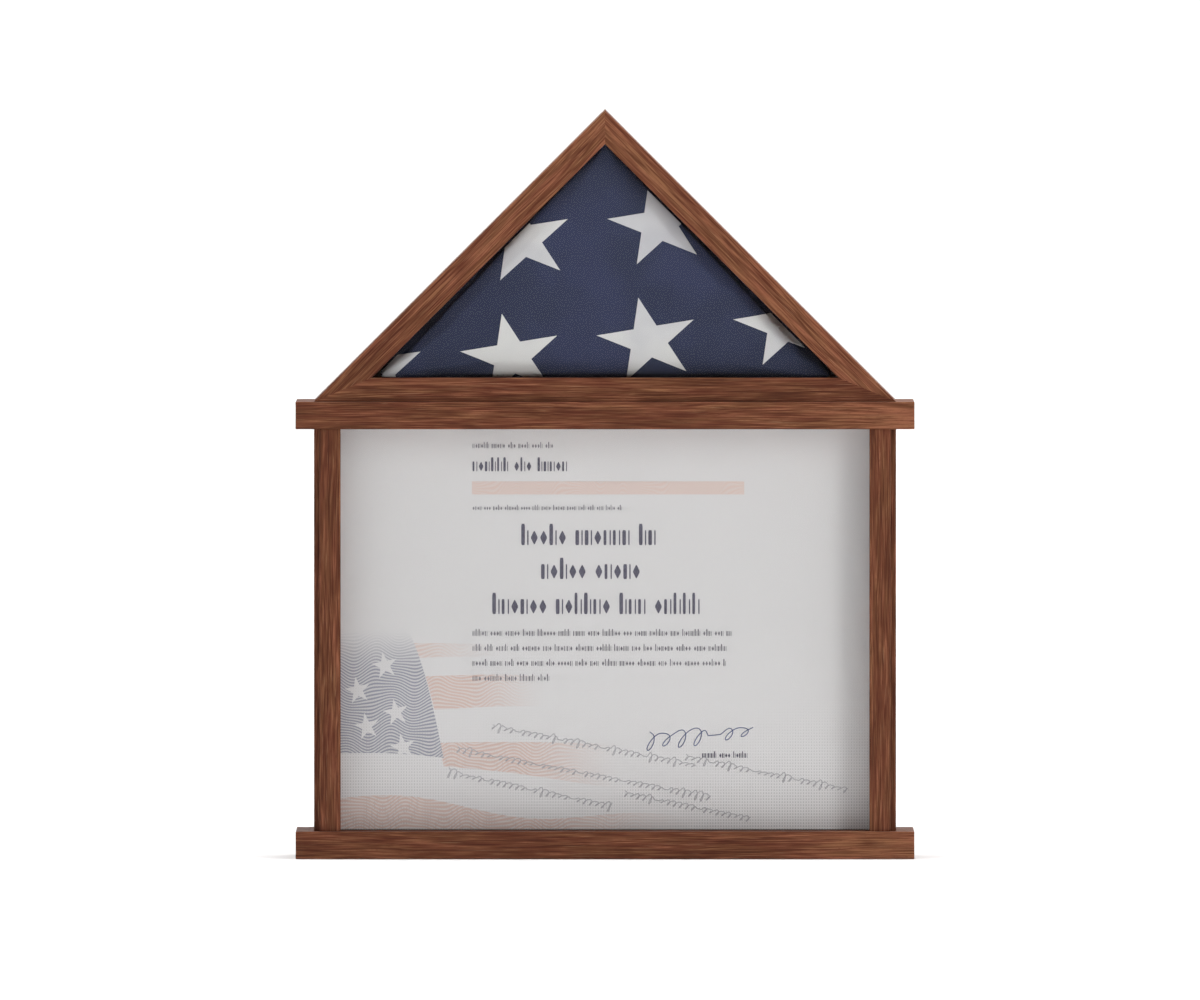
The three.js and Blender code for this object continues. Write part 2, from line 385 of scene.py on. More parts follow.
def finish_surface(
    add: AddNode, looks: dict, height: Socket | None = None, strength: float = 0.1, relief: float = mm(0.05)
) -> None:
    """Closes a material's tree: its looks, with a fine relief where it has one, go to the surface.

    Args:
        add: add_node for the material's tree.
        looks: what the surface shader is given.
        height: the relief's pattern.
        strength: how much of the relief shows.
        relief: the relief's depth.
    """
    if height:
        bump = add("Bump", {"Strength": strength, "Distance": relief, "Height": height})
        looks = {**looks, "Normal": bump}
    add("OutputMaterial", {"Surface": add("BsdfPrincipled", looks)})


@dataclass(frozen=True)
class PalePart:
    """A stretch of a board that is nearer the sapwood and so paler."""

    centre: float  # along the grain, from the frame's origin
    reach: float
    lift: float = 0.12


@dataclass(frozen=True)
class WoodFinish:
    """Stained and lacquered timber: fine broken lines along the grain over softer bands, pores and glints.

    The lacquer is thin and nearly dead matt, so that only edges and grazing faces catch a soft light.
    """

    label: str = "walnut_matt_lacquer"
    darkest: str = "4f2817"
    deep: str = "5f3421"
    middle: str = "6c412b"
    light: str = "7e4f39"
    palest: str = "946248"
    streak: str = "b08565"
    ruddy: str = "fdeee8"  # multiplied into the redder patches
    olive: str = "f4f3e2"  # and into the greener ones
    roughness: float = 0.6
    gloss: float = 0.14  # specular level, low because open pores break the lacquer up
    sheen: float = 0.09  # share of the surface that the lacquer closes, seen at grazing angles
    sheen_roughness: float = 0.35
    line_length: float = mm(27)
    line_width: float = mm(0.7)
    band_length: float = mm(70)
    band_width: float = mm(3.0)
    band_share: float = 0.38  # how much the bands count beside the lines
    tone_length: float = mm(170)
    tone_width: float = mm(13)
    tone_share: float = 0.22
    hue_length: float = mm(45)
    hue_width: float = mm(5)
    glint_share: float = 0.5
    pore_length: float = mm(4)
    pore_width: float = mm(0.35)
    pore_share: float = 0.45
    stray: float = mm(4.5)  # how far the grain wanders sideways
    stray_length: float = mm(95)
    stray_width: float = mm(30)
    relief: float = mm(0.12)

    def material(self, name: str, grain_angle: float, pale: PalePart | None = None) -> Material:
        """The finish on one board.

        Args:
            name: the board's name, which also picks the spot in the tree that it is cut from.
            grain_angle: the grain's direction in the front view, in degrees from +X towards +Z.
            pale: where the board is paler, if it is.

        Returns:
            The material.
        """
        material, add = new_material(f"{self.label}_{name}")
        draw = random.Random(name)
        coords = add("TexCoord", {}, out="Object")
        spot = [draw.uniform(-3, 3) for _ in range(3)]
        angle = math.radians(grain_angle)
        grain = add("Mapping", {"Vector": coords, "Location": spot, "Rotation": (0.0, angle, 0.0)})
        # Each layer is noise in patches of a length along the grain and a width. All but the first follow
        # the grain as it wanders.
        layers = {}
        for layer, length, width, detail in (
            ("stray", self.stray_length, self.stray_width, 1.0),
            ("tone", self.tone_length, self.tone_width, 2.0),
            ("bands", self.band_length, self.band_width, 2.0),
            ("lines", self.line_length, self.line_width, 2.5),
            ("pores", self.pore_length, self.pore_width, 1.0),
            ("hue", self.hue_length, self.hue_width, 2.0),
            ("glints", self.line_length * 1.3, self.line_width * 0.8, 2.0),
        ):
            size = (1 / length, 1 / width, 1 / width)
            scaled = add("VectorMath", {0: grain, 1: size}, operation="MULTIPLY")
            layers[layer] = add("TexNoise", {"Vector": scaled, "Scale": 1.0, "Detail": detail})
            if layer == "stray":
                aside = (0.0, self.stray, self.stray)
                grain = add("VectorMath", {0: layers[layer], 1: aside, 2: grain}, operation="MULTIPLY_ADD")
        level = 0.0
        for layer, share in (("lines", 1.0), ("bands", self.band_share), ("tone", self.tone_share)):
            level = add("Math", {0: layers[layer], 1: share, 2: level}, operation="MULTIPLY_ADD")
        if pale:
            along = (math.cos(angle), 0.0, math.sin(angle))
            place = add("VectorMath", {0: coords, 1: along}, operation="DOT_PRODUCT")
            away = add("Math", {0: place, 1: pale.centre}, operation="SUBTRACT")
            off = add("Math", {0: away}, operation="ABSOLUTE")
            reach = {"Value": off, "From Max": pale.reach, "To Min": pale.lift, "To Max": 0.0}
            lift = add("MapRange", reach, interpolation_type="SMOOTHSTEP")
            level = add("Math", {0: level, 1: 1.0, 2: lift}, operation="MULTIPLY_ADD")
        tones = (
            (0.61, self.darkest),
            (0.73, self.deep),
            (0.83, self.middle),
            (0.92, self.light),
            (1.0, self.palest),
        )
        ramp = add("ValToRGB", {"Fac": level}, tones)
        patches = add("MapRange", {"Value": layers["hue"], "From Min": 0.38, "From Max": 0.62})
        hues = {"Factor": patches, "A": colour(self.ruddy), "B": colour(self.olive)}
        hue = add("Mix", hues, data_type="RGBA")
        wood = add("Mix", {"Factor": 1.0, "A": ramp, "B": hue}, data_type="RGBA", blend_type="MULTIPLY")
        for layer, start, end, most, tone in (
            ("glints", 0.64, 0.78, self.glint_share, self.streak),
            ("pores", 0.36, 0.3, self.pore_share, self.darkest),
        ):
            limits = {"From Min": start, "From Max": end, "To Min": 0.0, "To Max": most}
            share = add("MapRange", {"Value": layers[layer], **limits})
            wood = add("Mix", {"Factor": share, "A": wood, "B": colour(tone)}, data_type="RGBA")
        gloss = {"To Min": self.roughness + 0.08, "To Max": self.roughness - 0.06}
        looks = {
            "Base Color": wood,
            "Roughness": add("MapRange", {"Value": layers["lines"], **gloss}),
            "IOR": 1.5,
            "Specular IOR Level": self.gloss,
            "Coat Weight": self.sheen,
            "Coat Roughness": self.sheen_roughness,
        }
        depths = {0: layers["pores"], 1: 1.0, 2: layers["lines"]}
        height = add("Math", depths, operation="MULTIPLY_ADD")
        finish_surface(add, looks, height, strength=0.3, relief=self.relief)
        return material


@dataclass(frozen=True)
class GlassFinish:
    """Picture glass with an anti-reflective coating: clear from the front, with a sheen at low angles."""

    ior: float = 1.15  # lower than bare glass, as the coating takes most of the reflection away
    tint: str = "fefefe"
    polish: float = 0.03

    def material(self) -> Material:
        """Clear to light and shadow, with a mirror share on the outer faces that follows Fresnel's law.

        Returns:
            The material.
        """
        material, add = new_material("picture_glass_coated")
        clear = add("BsdfTransparent", {"Color": colour(self.tint)})
        mirror = add("BsdfGlossy", {"Roughness": self.polish, "Color": colour("ffffff")})
        leaving = add("NewGeometry", {}, out="Backfacing")
        entering = add("Math", {0: 1.0, 1: leaving}, operation="SUBTRACT")
        share = add("Math", {0: add("Fresnel", {"IOR": self.ior}), 1: entering}, operation="MULTIPLY")
        add("OutputMaterial", {"Surface": add("MixShader", {0: share, 1: clear, 2: mirror})})
        return material


@dataclass(frozen=True)
class MetalFinish:
    """Metal with a fine even grain from tumbling or plating: small variations in tone and gloss."""

    label: str
    base: str
    worn: str
    roughness: float
    grain: float = mm(0.8)

    def material(self) -> Material:
        """The finish for all small parts of this metal.

        Returns:
            The material.
        """
        material, add = new_material(self.label)
        coords = add("TexCoord", {}, out="Object")
        grain = add("TexNoise", {"Vector": coords, "Scale": 1 / self.grain, "Detail": 3.0})
        tones = {"Factor": grain, "A": colour(self.base), "B": colour(self.worn)}
        gloss = {"To Min": self.roughness - 0.06, "To Max": self.roughness + 0.1}
        looks = {
            "Base Color": add("Mix", tones, data_type="RGBA"),
            "Metallic": 1.0,
            "Roughness": add("MapRange", {"Value": grain, **gloss}),
        }
        finish_surface(add, looks, grain, strength=0.15)
        return material


@dataclass(frozen=True)
class FibreboardFinish:
    """Pressed wood fibre with one smooth face: a warm brown with darker and paler fibre flecks."""

    base: str = "7a5638"
    dark: str = "5f4029"
    pale: str = "987250"
    fleck: float = mm(1.1)
    clouds_per_metre: float = 22.0
    cloud_share: float = 0.3
    roughness: float = 0.62

    def material(self) -> Material:
        """The finish for the panels that close the back and carry the document.

        Returns:
            The material.
        """
        material, add = new_material("hardboard_pressed_smooth")
        coords = add("TexCoord", {}, out="Object")
        fine = {"Vector": coords, "Scale": 1 / self.fleck, "Detail": 5.0, "Roughness": 0.7}
        flecks = add("TexNoise", fine)
        clouds = add("TexNoise", {"Vector": coords, "Scale": self.clouds_per_metre, "Detail": 2.0})
        mixed = add("Math", {0: clouds, 1: self.cloud_share, 2: flecks}, operation="MULTIPLY_ADD")
        tones = ((0.42, self.dark), (0.65, self.base), (0.88, self.pale))
        looks = {"Base Color": add("ValToRGB", {"Fac": mixed}, tones), "Roughness": self.roughness}
        finish_surface(add, looks, flecks, strength=0.25, relief=mm(0.1))
        return material


@dataclass(frozen=True)
class ClothFinish:
    """Plain-woven flag cloth: matt, softly mottled, with a weave of fine threads close up."""

    label: str
    deep: str
    base: str
    pale: str
    thread: float = mm(0.6)  # about twice the real spacing, so that it shows close up
    patch: float = mm(55)
    contrast: float = 1.0

    def material(self) -> Material:
        """The finish, with its patches and threads placed by object coordinates.

        Returns:
            The material.
        """
        material, add = new_material(self.label)
        coords = add("TexCoord", {}, out="Object")
        mottle = {"Vector": coords, "Scale": 1 / self.patch, "Detail": 3.0, "Roughness": 0.45}
        spread = 0.16 / self.contrast
        tones = ((0.5 - spread, self.deep), (0.5, self.base), (0.5 + spread, self.pale))
        looks = {
            "Base Color": add("ValToRGB", {"Fac": add("TexNoise", mottle)}, tones),
            "Roughness": 0.92,
            "Specular IOR Level": 0.08,
        }
        spacing = {"Vector": coords, "Scale": math.pi / 10 / self.thread, "Distortion": 0.4}
        warp, weft = (
            add("TexWave", spacing, out="Fac", wave_type="BANDS", bands_direction=way) for way in ("X", "Z")
        )
        finish_surface(add, looks, add("Math", {0: warp, 1: weft}, operation="MULTIPLY"))
        return material


@dataclass(frozen=True)
class PrintFinish:
    """Ink on matt heavy paper: engraved wavy lines in a tint that fades out, over the paper's own tone.

    With no ink named it is the bare paper, with grey printed dots that grow towards the bottom edge.
    """

    label: str
    ink: str | None = None
    paper: str = "d6d5d5"
    foot: str = "e1e0e0"  # the paper's ground where the dots are densest
    dot: str = "6f6d70"
    fibre: float = mm(1.5)
    roughness: float = 0.85
    line_pitch: float = mm(2.3)
    line_share: float = 0.6
    swell: float = mm(2.8)
    fade_along: tuple[float, float, float] = (0.0, 0.0, 1.0)
    fade_from: float = mm(300)
    fade_to: float = mm(400)
    dot_across: float = mm(1.75)  # spacing of the dot screen's columns
    dot_up: float = mm(1.97)  # and of its rows
    dots_top: float = mm(156)
    dots_bottom: float = mm(20)
    dot_radius: float = 0.25  # the largest dots, as a share of the spacing
    dot_share: float = 0.48

    def material(self) -> Material:
        """The finish, drawn by object coordinates.

        Returns:
            The material.
        """
        material, add = new_material(self.label)
        coords = add("TexCoord", {}, out="Object")
        fibres = add("TexNoise", {"Vector": coords, "Scale": 1 / self.fibre, "Detail": 4.0})
        level = add("VectorMath", {0: coords, 1: (0.0, 0.0, 1.0)}, operation="DOT_PRODUCT")
        cells = (1 / self.dot_across, 1.0, 1 / self.dot_up)
        spread = add("Mapping", {"Vector": coords, "Scale": cells})
        corner = add("VectorMath", {0: spread}, operation="FRACTION")
        middle = {0: corner, 1: (1.0, 0.0, 1.0), 2: (-0.5, 0.0, -0.5)}
        centred = add("VectorMath", middle, operation="MULTIPLY_ADD")
        away = add("VectorMath", {0: centred}, operation="LENGTH")
        descent = add("MapRange", {"Value": level, "From Min": self.dots_top, "From Max": self.dots_bottom})
        radius = add("Math", {0: descent, 1: self.dot_radius}, operation="MULTIPLY")
        inside = add("Math", {0: radius, 1: away}, operation="SUBTRACT")
        grounds = {"Factor": descent, "A": colour(self.paper), "B": colour(self.foot)}
        ground = add("Mix", grounds, data_type="RGBA")
        edge = {"From Min": -0.06, "From Max": 0.06, "To Min": 0.0, "To Max": self.dot_share}
        dots = add("MapRange", {"Value": inside, **edge})
        tone = add("Mix", {"Factor": dots, "A": ground, "B": colour(self.dot)}, data_type="RGBA")
        if self.ink:
            tone = self.inked(add, coords, tone)
        finish_surface(add, {"Base Color": tone, "Roughness": self.roughness}, fibres)
        return material

    def inked(self, add: AddNode, coords: Socket, under: Socket) -> Socket:
        """Wavy engraved lines of ink over a tone.

        Args:
            add: add_node for the material's tree.
            coords: object coordinates.
            under: the colour beneath the ink.

        Returns:
            The printed colour.
        """
        height = add("VectorMath", {0: coords, 1: (0.0, 0.0, 1.0)}, operation="DOT_PRODUCT")
        for way, size, shift in (
            ((2 * math.pi / mm(37), 0.0, 34.0), self.swell, 0.4),
            ((2 * math.pi / mm(22), 0.0, -75.0), self.swell * 0.4, 1.3),
        ):
            phase = add("VectorMath", {0: coords, 1: way}, operation="DOT_PRODUCT")
            shifted = add("Math", {0: phase, 1: shift}, operation="ADD")
            sine = add("Math", {0: shifted}, operation="SINE")
            height = add("Math", {0: sine, 1: size, 2: height}, operation="MULTIPLY_ADD")
        turns = add("Math", {0: height, 1: 2 * math.pi / self.line_pitch}, operation="MULTIPLY")
        lines = add("Math", {0: turns}, operation="SINE")
        edge = {"From Min": -0.45, "From Max": 0.45, "To Min": 1.0 - self.line_share, "To Max": 1.0}
        share = add("MapRange", {"Value": lines, **edge})
        along = add("VectorMath", {0: coords, 1: self.fade_along}, operation="DOT_PRODUCT")
        fading = {"From Min": self.fade_from, "From Max": self.fade_to, "To Min": 1.0, "To Max": 0.0}
        fade = add("MapRange", {"Value": along, **fading}, interpolation_type="SMOOTHSTEP")
        amount = add("Math", {0: share, 1: fade}, operation="MULTIPLY")
        return add("Mix", {"Factor": amount, "A": under, "B": colour(self.ink)}, data_type="RGBA")


@dataclass(frozen=True)
class InkFinish:
    """Printing ink on paper: matt, a little uneven where the paper took less of it."""

    label: str
    full: str
    thin: str
    patch: float = mm(2.0)

    def material(self) -> Material:
        """The finish, with its unevenness placed by object coordinates.

        Returns:
            The material.
        """
        material, add = new_material(self.label)
        coords = add("TexCoord", {}, out="Object")
        uneven = add("TexNoise", {"Vector": coords, "Scale": 1 / self.patch, "Detail": 4.0})
        tones = {"Factor": uneven, "A": colour(self.full), "B": colour(self.thin)}
        finish_surface(add, {"Base Color": add("Mix", tones, data_type="RGBA"), "Roughness": 0.8})
        return material


# ---- Walnut case -----------------------------------------------------------------------------------------


class Grain(Enum):
    """The way a board's grain runs in the front view, in degrees from +X towards +Z."""

    LEVEL = 0.0
    UPRIGHT = 90.0
    RISING = 45.0
    FALLING = 135.0


def turned(name: str, steps: list[tuple[float, float]], segments: int = 32) -> Piece:
    """A turned solid about +Z, drawn up from a disc by extruding and resizing ring by ring.

    Args:
        name: the new object's name.
        steps: each ring's radius and height, from one end to the other.
        segments: sides of the turned shape.

    Returns:
        The closed solid, with its axis on the origin.
    """
    deselect()
    radius, height = steps[0]
    bpy.ops.mesh.primitive_circle_add(
        vertices=segments, radius=radius, fill_type="NGON", location=(0, 0, height)
    )
    obj = settle(named(name))
    with edit_mode(obj):
        for next_radius, next_height in steps[1:]:
            rise = {"value": (0, 0, next_height - height)}
            bpy.ops.mesh.extrude_region_move(TRANSFORM_OT_translate=rise)
            share = next_radius / radius
            bpy.ops.transform.resize(value=(share, share, 1), center_override=(0, 0, next_height))
            radius, height = next_radius, next_height
        turn_outwards()
    return obj


@dataclass
class Board:
    """A planed board or panel in the place of a CAD node, with its arrises softened by hand."""

    node: str
    arris: float = mm(0.8)
    cutters: list[Piece] = field(default_factory=list)

    def shape(self) -> Piece:
        """The board, rounded first and then grooved and drilled.

        Returns:
            The finished board.
        """
        low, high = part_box(self.node)
        board = block(f"{self.node}_shaped", low, high)
        round_edges(board, self.arris)
        if self.cutters:
            carve(board, self.cutters)
        smooth(board)
        return board


@dataclass
class WoodScrew:
    """A countersunk cross-head wood screw: its head on the origin and its point along +Z."""

    length: float
    head_radius: float = mm(3.6)
    head_height: float = mm(2.6)
    rim: float = mm(0.3)
    core: float = mm(1.3)
    thread: float = mm(1.75)
    pitch: float = mm(1.6)
    point: float = mm(3.0)
    tip: float = mm(0.3)
    recess: float = mm(1.9)
    blade: float = mm(0.9)
    sides: int = 24

    def shape(self, name: str) -> Piece:
        """The screw with ridges for its thread and a cross cut in its head.

        Args:
            name: the new object's name.

        Returns:
            The screw.
        """
        steps = [(self.head_radius, 0.0), (self.head_radius, self.rim), (self.thread, self.head_height)]
        height = self.head_height + self.pitch
        while height + self.pitch < self.length - self.point:
            steps += [(self.core, height), (self.thread, height + self.pitch / 2)]
            height += self.pitch
        steps += [(self.core, self.length - self.point), (self.tip, self.length)]
        screw = turned(name, steps, self.sides)
        reach = self.head_radius * 0.55
        half = self.blade / 2
        slots = [
            block("slot", Vector((-w, -d, -self.recess)), Vector((w, d, self.recess)))
            for w, d in ((reach, half), (half, reach))
        ]
        carve(screw, slots)
        smooth(screw, degrees=50)
        return screw

    def hole(self, gap: float = mm(0.2)) -> Piece:
        """The countersunk hole that takes the screw.

        Args:
            gap: the hole's clearance round the screw.

        Returns:
            The cutting tool, in the screw's own place.
        """
        head = self.head_radius + gap
        shank = self.thread + gap
        end = self.length + gap
        steps = [(head, -self.rim), (head, self.rim), (shank, self.head_height), (shank, end)]
        return turned("hole", steps, self.sides)


@dataclass
class AssemblyScrews:
    """The zinc-plated screws that hold the rails to the side boards and to the flag case."""

    finish: MetalFinish
    nodes: list[str] = field(
        default_factory=lambda: sorted(
            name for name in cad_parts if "_screw_" in name and not name.startswith("turn_button")
        )
    )

    def place(self, node: str) -> Matrix:
        """Where a screw's head lies and which way its point faces.

        Args:
            node: its CAD node.

        Returns:
            The screw's place, turned over where it is driven in from above.
        """
        low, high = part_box(node)
        middle = (low + high) / 2
        if node.startswith("shelf"):
            return Matrix.Translation((middle.x, middle.y, high.z)) @ Matrix.Rotation(math.pi, 4, "X")
        return Matrix.Translation((middle.x, middle.y, low.z))

    def length(self, node: str) -> float:
        """A screw's overall length."""
        low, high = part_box(node)
        return high.z - low.z

    def holes(self, *words: str) -> list[Piece]:
        """Cutting tools for the screws whose names start with one of the words.

        Args:
            words: the starts of the screws' names.

        Returns:
            One tool for each screw, in its place.
        """
        tools = []
        for node in self.nodes:
            if node.startswith(words):
                tool = WoodScrew(self.length(node)).hole()
                tool.data.transform(self.place(node))
                tools.append(tool)
        return tools

    def build(self) -> None:
        """Makes one screw of each length and copies it to its places."""
        material = self.finish.material()
        patterns: dict[int, Piece] = {}
        for node in self.nodes:
            size = round(self.length(node) * 1000)
            if size not in patterns:
                patterns[size] = WoodScrew(self.length(node)).shape(f"screw_{size}")
            screw = copy_of(patterns[size], f"{node}_zinc", self.place(node))
            mount(screw, material, CASE, "zinc_steel", node)
        discard(*patterns.values())


@dataclass
class ButtonHardware:
    """The brass turn buttons that hold both back panels in, each on its own slotted screw."""

    finish: MetalFinish
    width: float = mm(6.5)
    length: float = mm(26)
    thickness: float = mm(1.5)
    hole_radius: float = mm(1.35)
    screw_radius: float = mm(1.25)
    screw_length: float = mm(13)
    head_radius: float = mm(2.9)
    head_height: float = mm(1.5)
    slot_width: float = mm(0.7)
    slot_depth: float = mm(0.8)
    crown: float = mm(0.35)  # how far the button's edge is softened
    point: float = mm(2.5)
    pilot_gap: float = mm(0.2)

    def pivot(self, node: str) -> Vector:
        """The pivot of a turn button on the case's back: the middle of its screw's head."""
        low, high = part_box(self.screw_of(node))
        return Vector(((low.x + high.x) / 2, high.y, (low.z + high.z) / 2))

    def screw_of(self, node: str) -> str:
        """The CAD node of a turn button's screw."""
        return node.replace("turn_button_", "turn_button_screw_")

    def nodes(self) -> list[str]:
        """The turn buttons' CAD nodes."""
        words = ("turn_button_document", "turn_button_flag")
        return sorted(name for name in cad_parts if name.startswith(words))

    def points(self, node: str) -> float:
        """The way an open button points.

        Args:
            node: its CAD node.

        Returns:
            Degrees from +X towards +Z.
        """
        low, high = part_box(node)
        middle = (low + high) / 2
        away = middle - self.pivot(node)
        return math.degrees(math.atan2(away.z, away.x))

    def button_shape(self) -> Piece:
        """A stamped bar with round ends, a pierced hole and a softened edge.

        Returns:
            The button, with its back on Y = 0.
        """
        radius = self.width / 2
        button = turned("button", [(radius, 0.0), (radius, self.thickness)], segments=48)
        with edit_mode(button):
            select_where("VERT", lambda vert: vert.co.x > mm(0.01))
            bpy.ops.transform.translate(value=(self.length - self.width, 0, 0))
        carve(button, [turned("hole", [(self.hole_radius, -mm(1)), (self.hole_radius, mm(3))])])
        edge = {"limit_method": "ANGLE", "angle_limit": math.radians(60)}
        modify(button, "edge", "BEVEL", width=self.crown, segments=3, **edge)
        button.data.transform(Matrix.Rotation(math.radians(-90), 4, "X"))
        smooth(button)
        return button

    def screw_shape(self) -> Piece:
        """A domed, slotted screw.

        Returns:
            The screw, with its head's crown on Y = 0 and its point towards -Y.
        """
        dome = [
            (self.head_radius * math.sin(step), self.head_height * (1 - math.cos(step)))
            for step in (math.radians(angle) for angle in range(10, 91, 10))
        ]
        tip = self.head_height + self.screw_length
        shank = self.screw_radius
        rest = [(shank, self.head_height), (shank, tip - self.point), (mm(0.25), tip)]
        screw = turned("button_screw", dome + rest)
        half = self.slot_width / 2
        reach = self.head_radius * 2
        slot = block("slot", Vector((-reach, -half, -reach)), Vector((reach, half, self.slot_depth)))
        carve(screw, [slot])
        screw.data.transform(Matrix.Rotation(math.radians(90), 4, "X"))
        smooth(screw, degrees=40)
        return screw

    def pilot(self, node: str) -> Piece:
        """The hole in the case that takes a button's screw.

        Args:
            node: the button's CAD node.

        Returns:
            The cutting tool, in its place.
        """
        radius = self.screw_radius + self.pilot_gap
        hole = turned("hole", [(radius, -mm(2)), (radius, self.screw_length + mm(2))])
        hole.data.transform(Matrix.Translation(self.pivot(node)) @ Matrix.Rotation(math.radians(90), 4, "X"))
        return hole

    def build(self) -> None:
        """Makes one button and one screw and copies them to every pivot."""
        material = self.finish.material()
        button, screw = self.button_shape(), self.screw_shape()
        for node in self.nodes():
            body = node.replace("turn_button_", "button_")
            pivot = self.pivot(node)
            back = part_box(node)[0].y
            turn = Matrix.Rotation(math.radians(-self.points(node)), 4, "Y")
            for pattern, place, made, label in (
                (button, Vector((pivot.x, back, pivot.z)), node, "stamped"),
                (screw, pivot, self.screw_of(node), "slotted"),
            ):
                piece = copy_of(pattern, f"{made}_{label}", Matrix.Translation(place) @ turn)
                mount(piece, material, body, "brass", made)
        discard(button, screw)


@dataclass
class DocumentBox:
    """The lower storey: two rails, two side boards, two stiles, the glass and its spacers."""

    wood: WoodFinish
    glass: Material
    screws: AssemblyScrews
    buttons: ButtonHardware
    groove_gap: float = mm(0.1)

    def groove(self) -> Piece:
        """The cutting tool for the grooves that hold the glass in both rails.

        Returns:
            A block a little larger than the glass.
        """
        low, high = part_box("document_glazing")
        room = Vector((mm(0.5), self.groove_gap, mm(0.5)))
        return block("groove", low - room, high + room)

    def board(
        self, node: str, grain: Grain, arris: float, cutters: list[Piece], pale: PalePart | None = None
    ) -> None:
        """Shapes, dresses and mounts one walnut board.

        Args:
            node: the CAD node that it stands for.
            grain: the way its grain runs.
            arris: the radius of its softened edges.
            cutters: grooves and holes.
            pale: where the board is paler, if it is.
        """
        piece = Board(node, arris, cutters).shape()
        mount(piece, self.wood.material(node, grain.value, pale), CASE, "walnut", node)

    def build(self) -> None:
        """Builds the box from the bottom up."""
        pale = PalePart(mm(190), mm(110))
        self.board("base_rail", Grain.LEVEL, mm(0.5), [self.groove(), *self.screws.holes("base")], pale)
        holes = self.screws.holes("shelf", "flag")
        self.board("shelf_rail", Grain.LEVEL, mm(0.5), [self.groove(), *holes], pale)
        for side in ("left", "right"):
            pilots = [
                self.buttons.pilot(node)
                for node in self.buttons.nodes()
                if "document" in node and node.endswith(side)
            ]
            holes = self.screws.holes(f"base_screw_{side}", f"shelf_screw_{side}")
            self.board(f"side_board_{side}", Grain.UPRIGHT, mm(0.6), pilots + holes)
            self.board(f"face_stile_{side}", Grain.UPRIGHT, mm(0.4), [])
            self.board(f"document_spacer_{side}", Grain.UPRIGHT, mm(0.4), [])
        pane = Board("document_glazing", arris=mm(0.2)).shape()
        mount(pane, self.glass, CASE, "clear_glass", "document_glazing")


@dataclass(frozen=True)
class MitredMoulding:
    """One mitred member of a triangular frame, cut from a profiled length between two of its corners.

    The length is made along +X, with its outer face on Z = 0 and the case's inside towards +Z.
    """

    side: str
    first: int  # the corner where it starts
    last: int
    start: float  # the mitre angle there
    end: float
    trim: float = mm(0.004)  # half the glue line

    def run(self, corners: list[Vector]) -> Vector:
        """The way from the corner where it starts to the one where it ends."""
        return corners[self.last] - corners[self.first]

    def fit(self, blank: Piece, corners: list[Vector]) -> None:
        """Saws both ends of a blank to their mitres and puts it between its corners.

        Args:
            blank: the profiled length, longer than the member.
            corners: the triangle's corners.
        """
        run = self.run(corners)
        cuts = []
        for corner, angle, way in ((0.0, self.start, -1.0), (run.length, self.end, 1.0)):
            inset = -way * self.trim / math.sin(angle)
            cuts.append(((corner + inset, 0, 0), (way * math.sin(angle), 0, math.cos(angle))))
        with edit_mode(blank):
            saw(cuts, use_fill=True, clear_outer=True)
            turn_outwards()
        along = run.normalized()
        inwards = Vector((-along.z, 0, along.x))
        turn = Matrix((along, Vector((0, 1, 0)), inwards)).transposed().to_4x4()
        blank.data.transform(Matrix.Translation(corners[self.first]) @ turn)


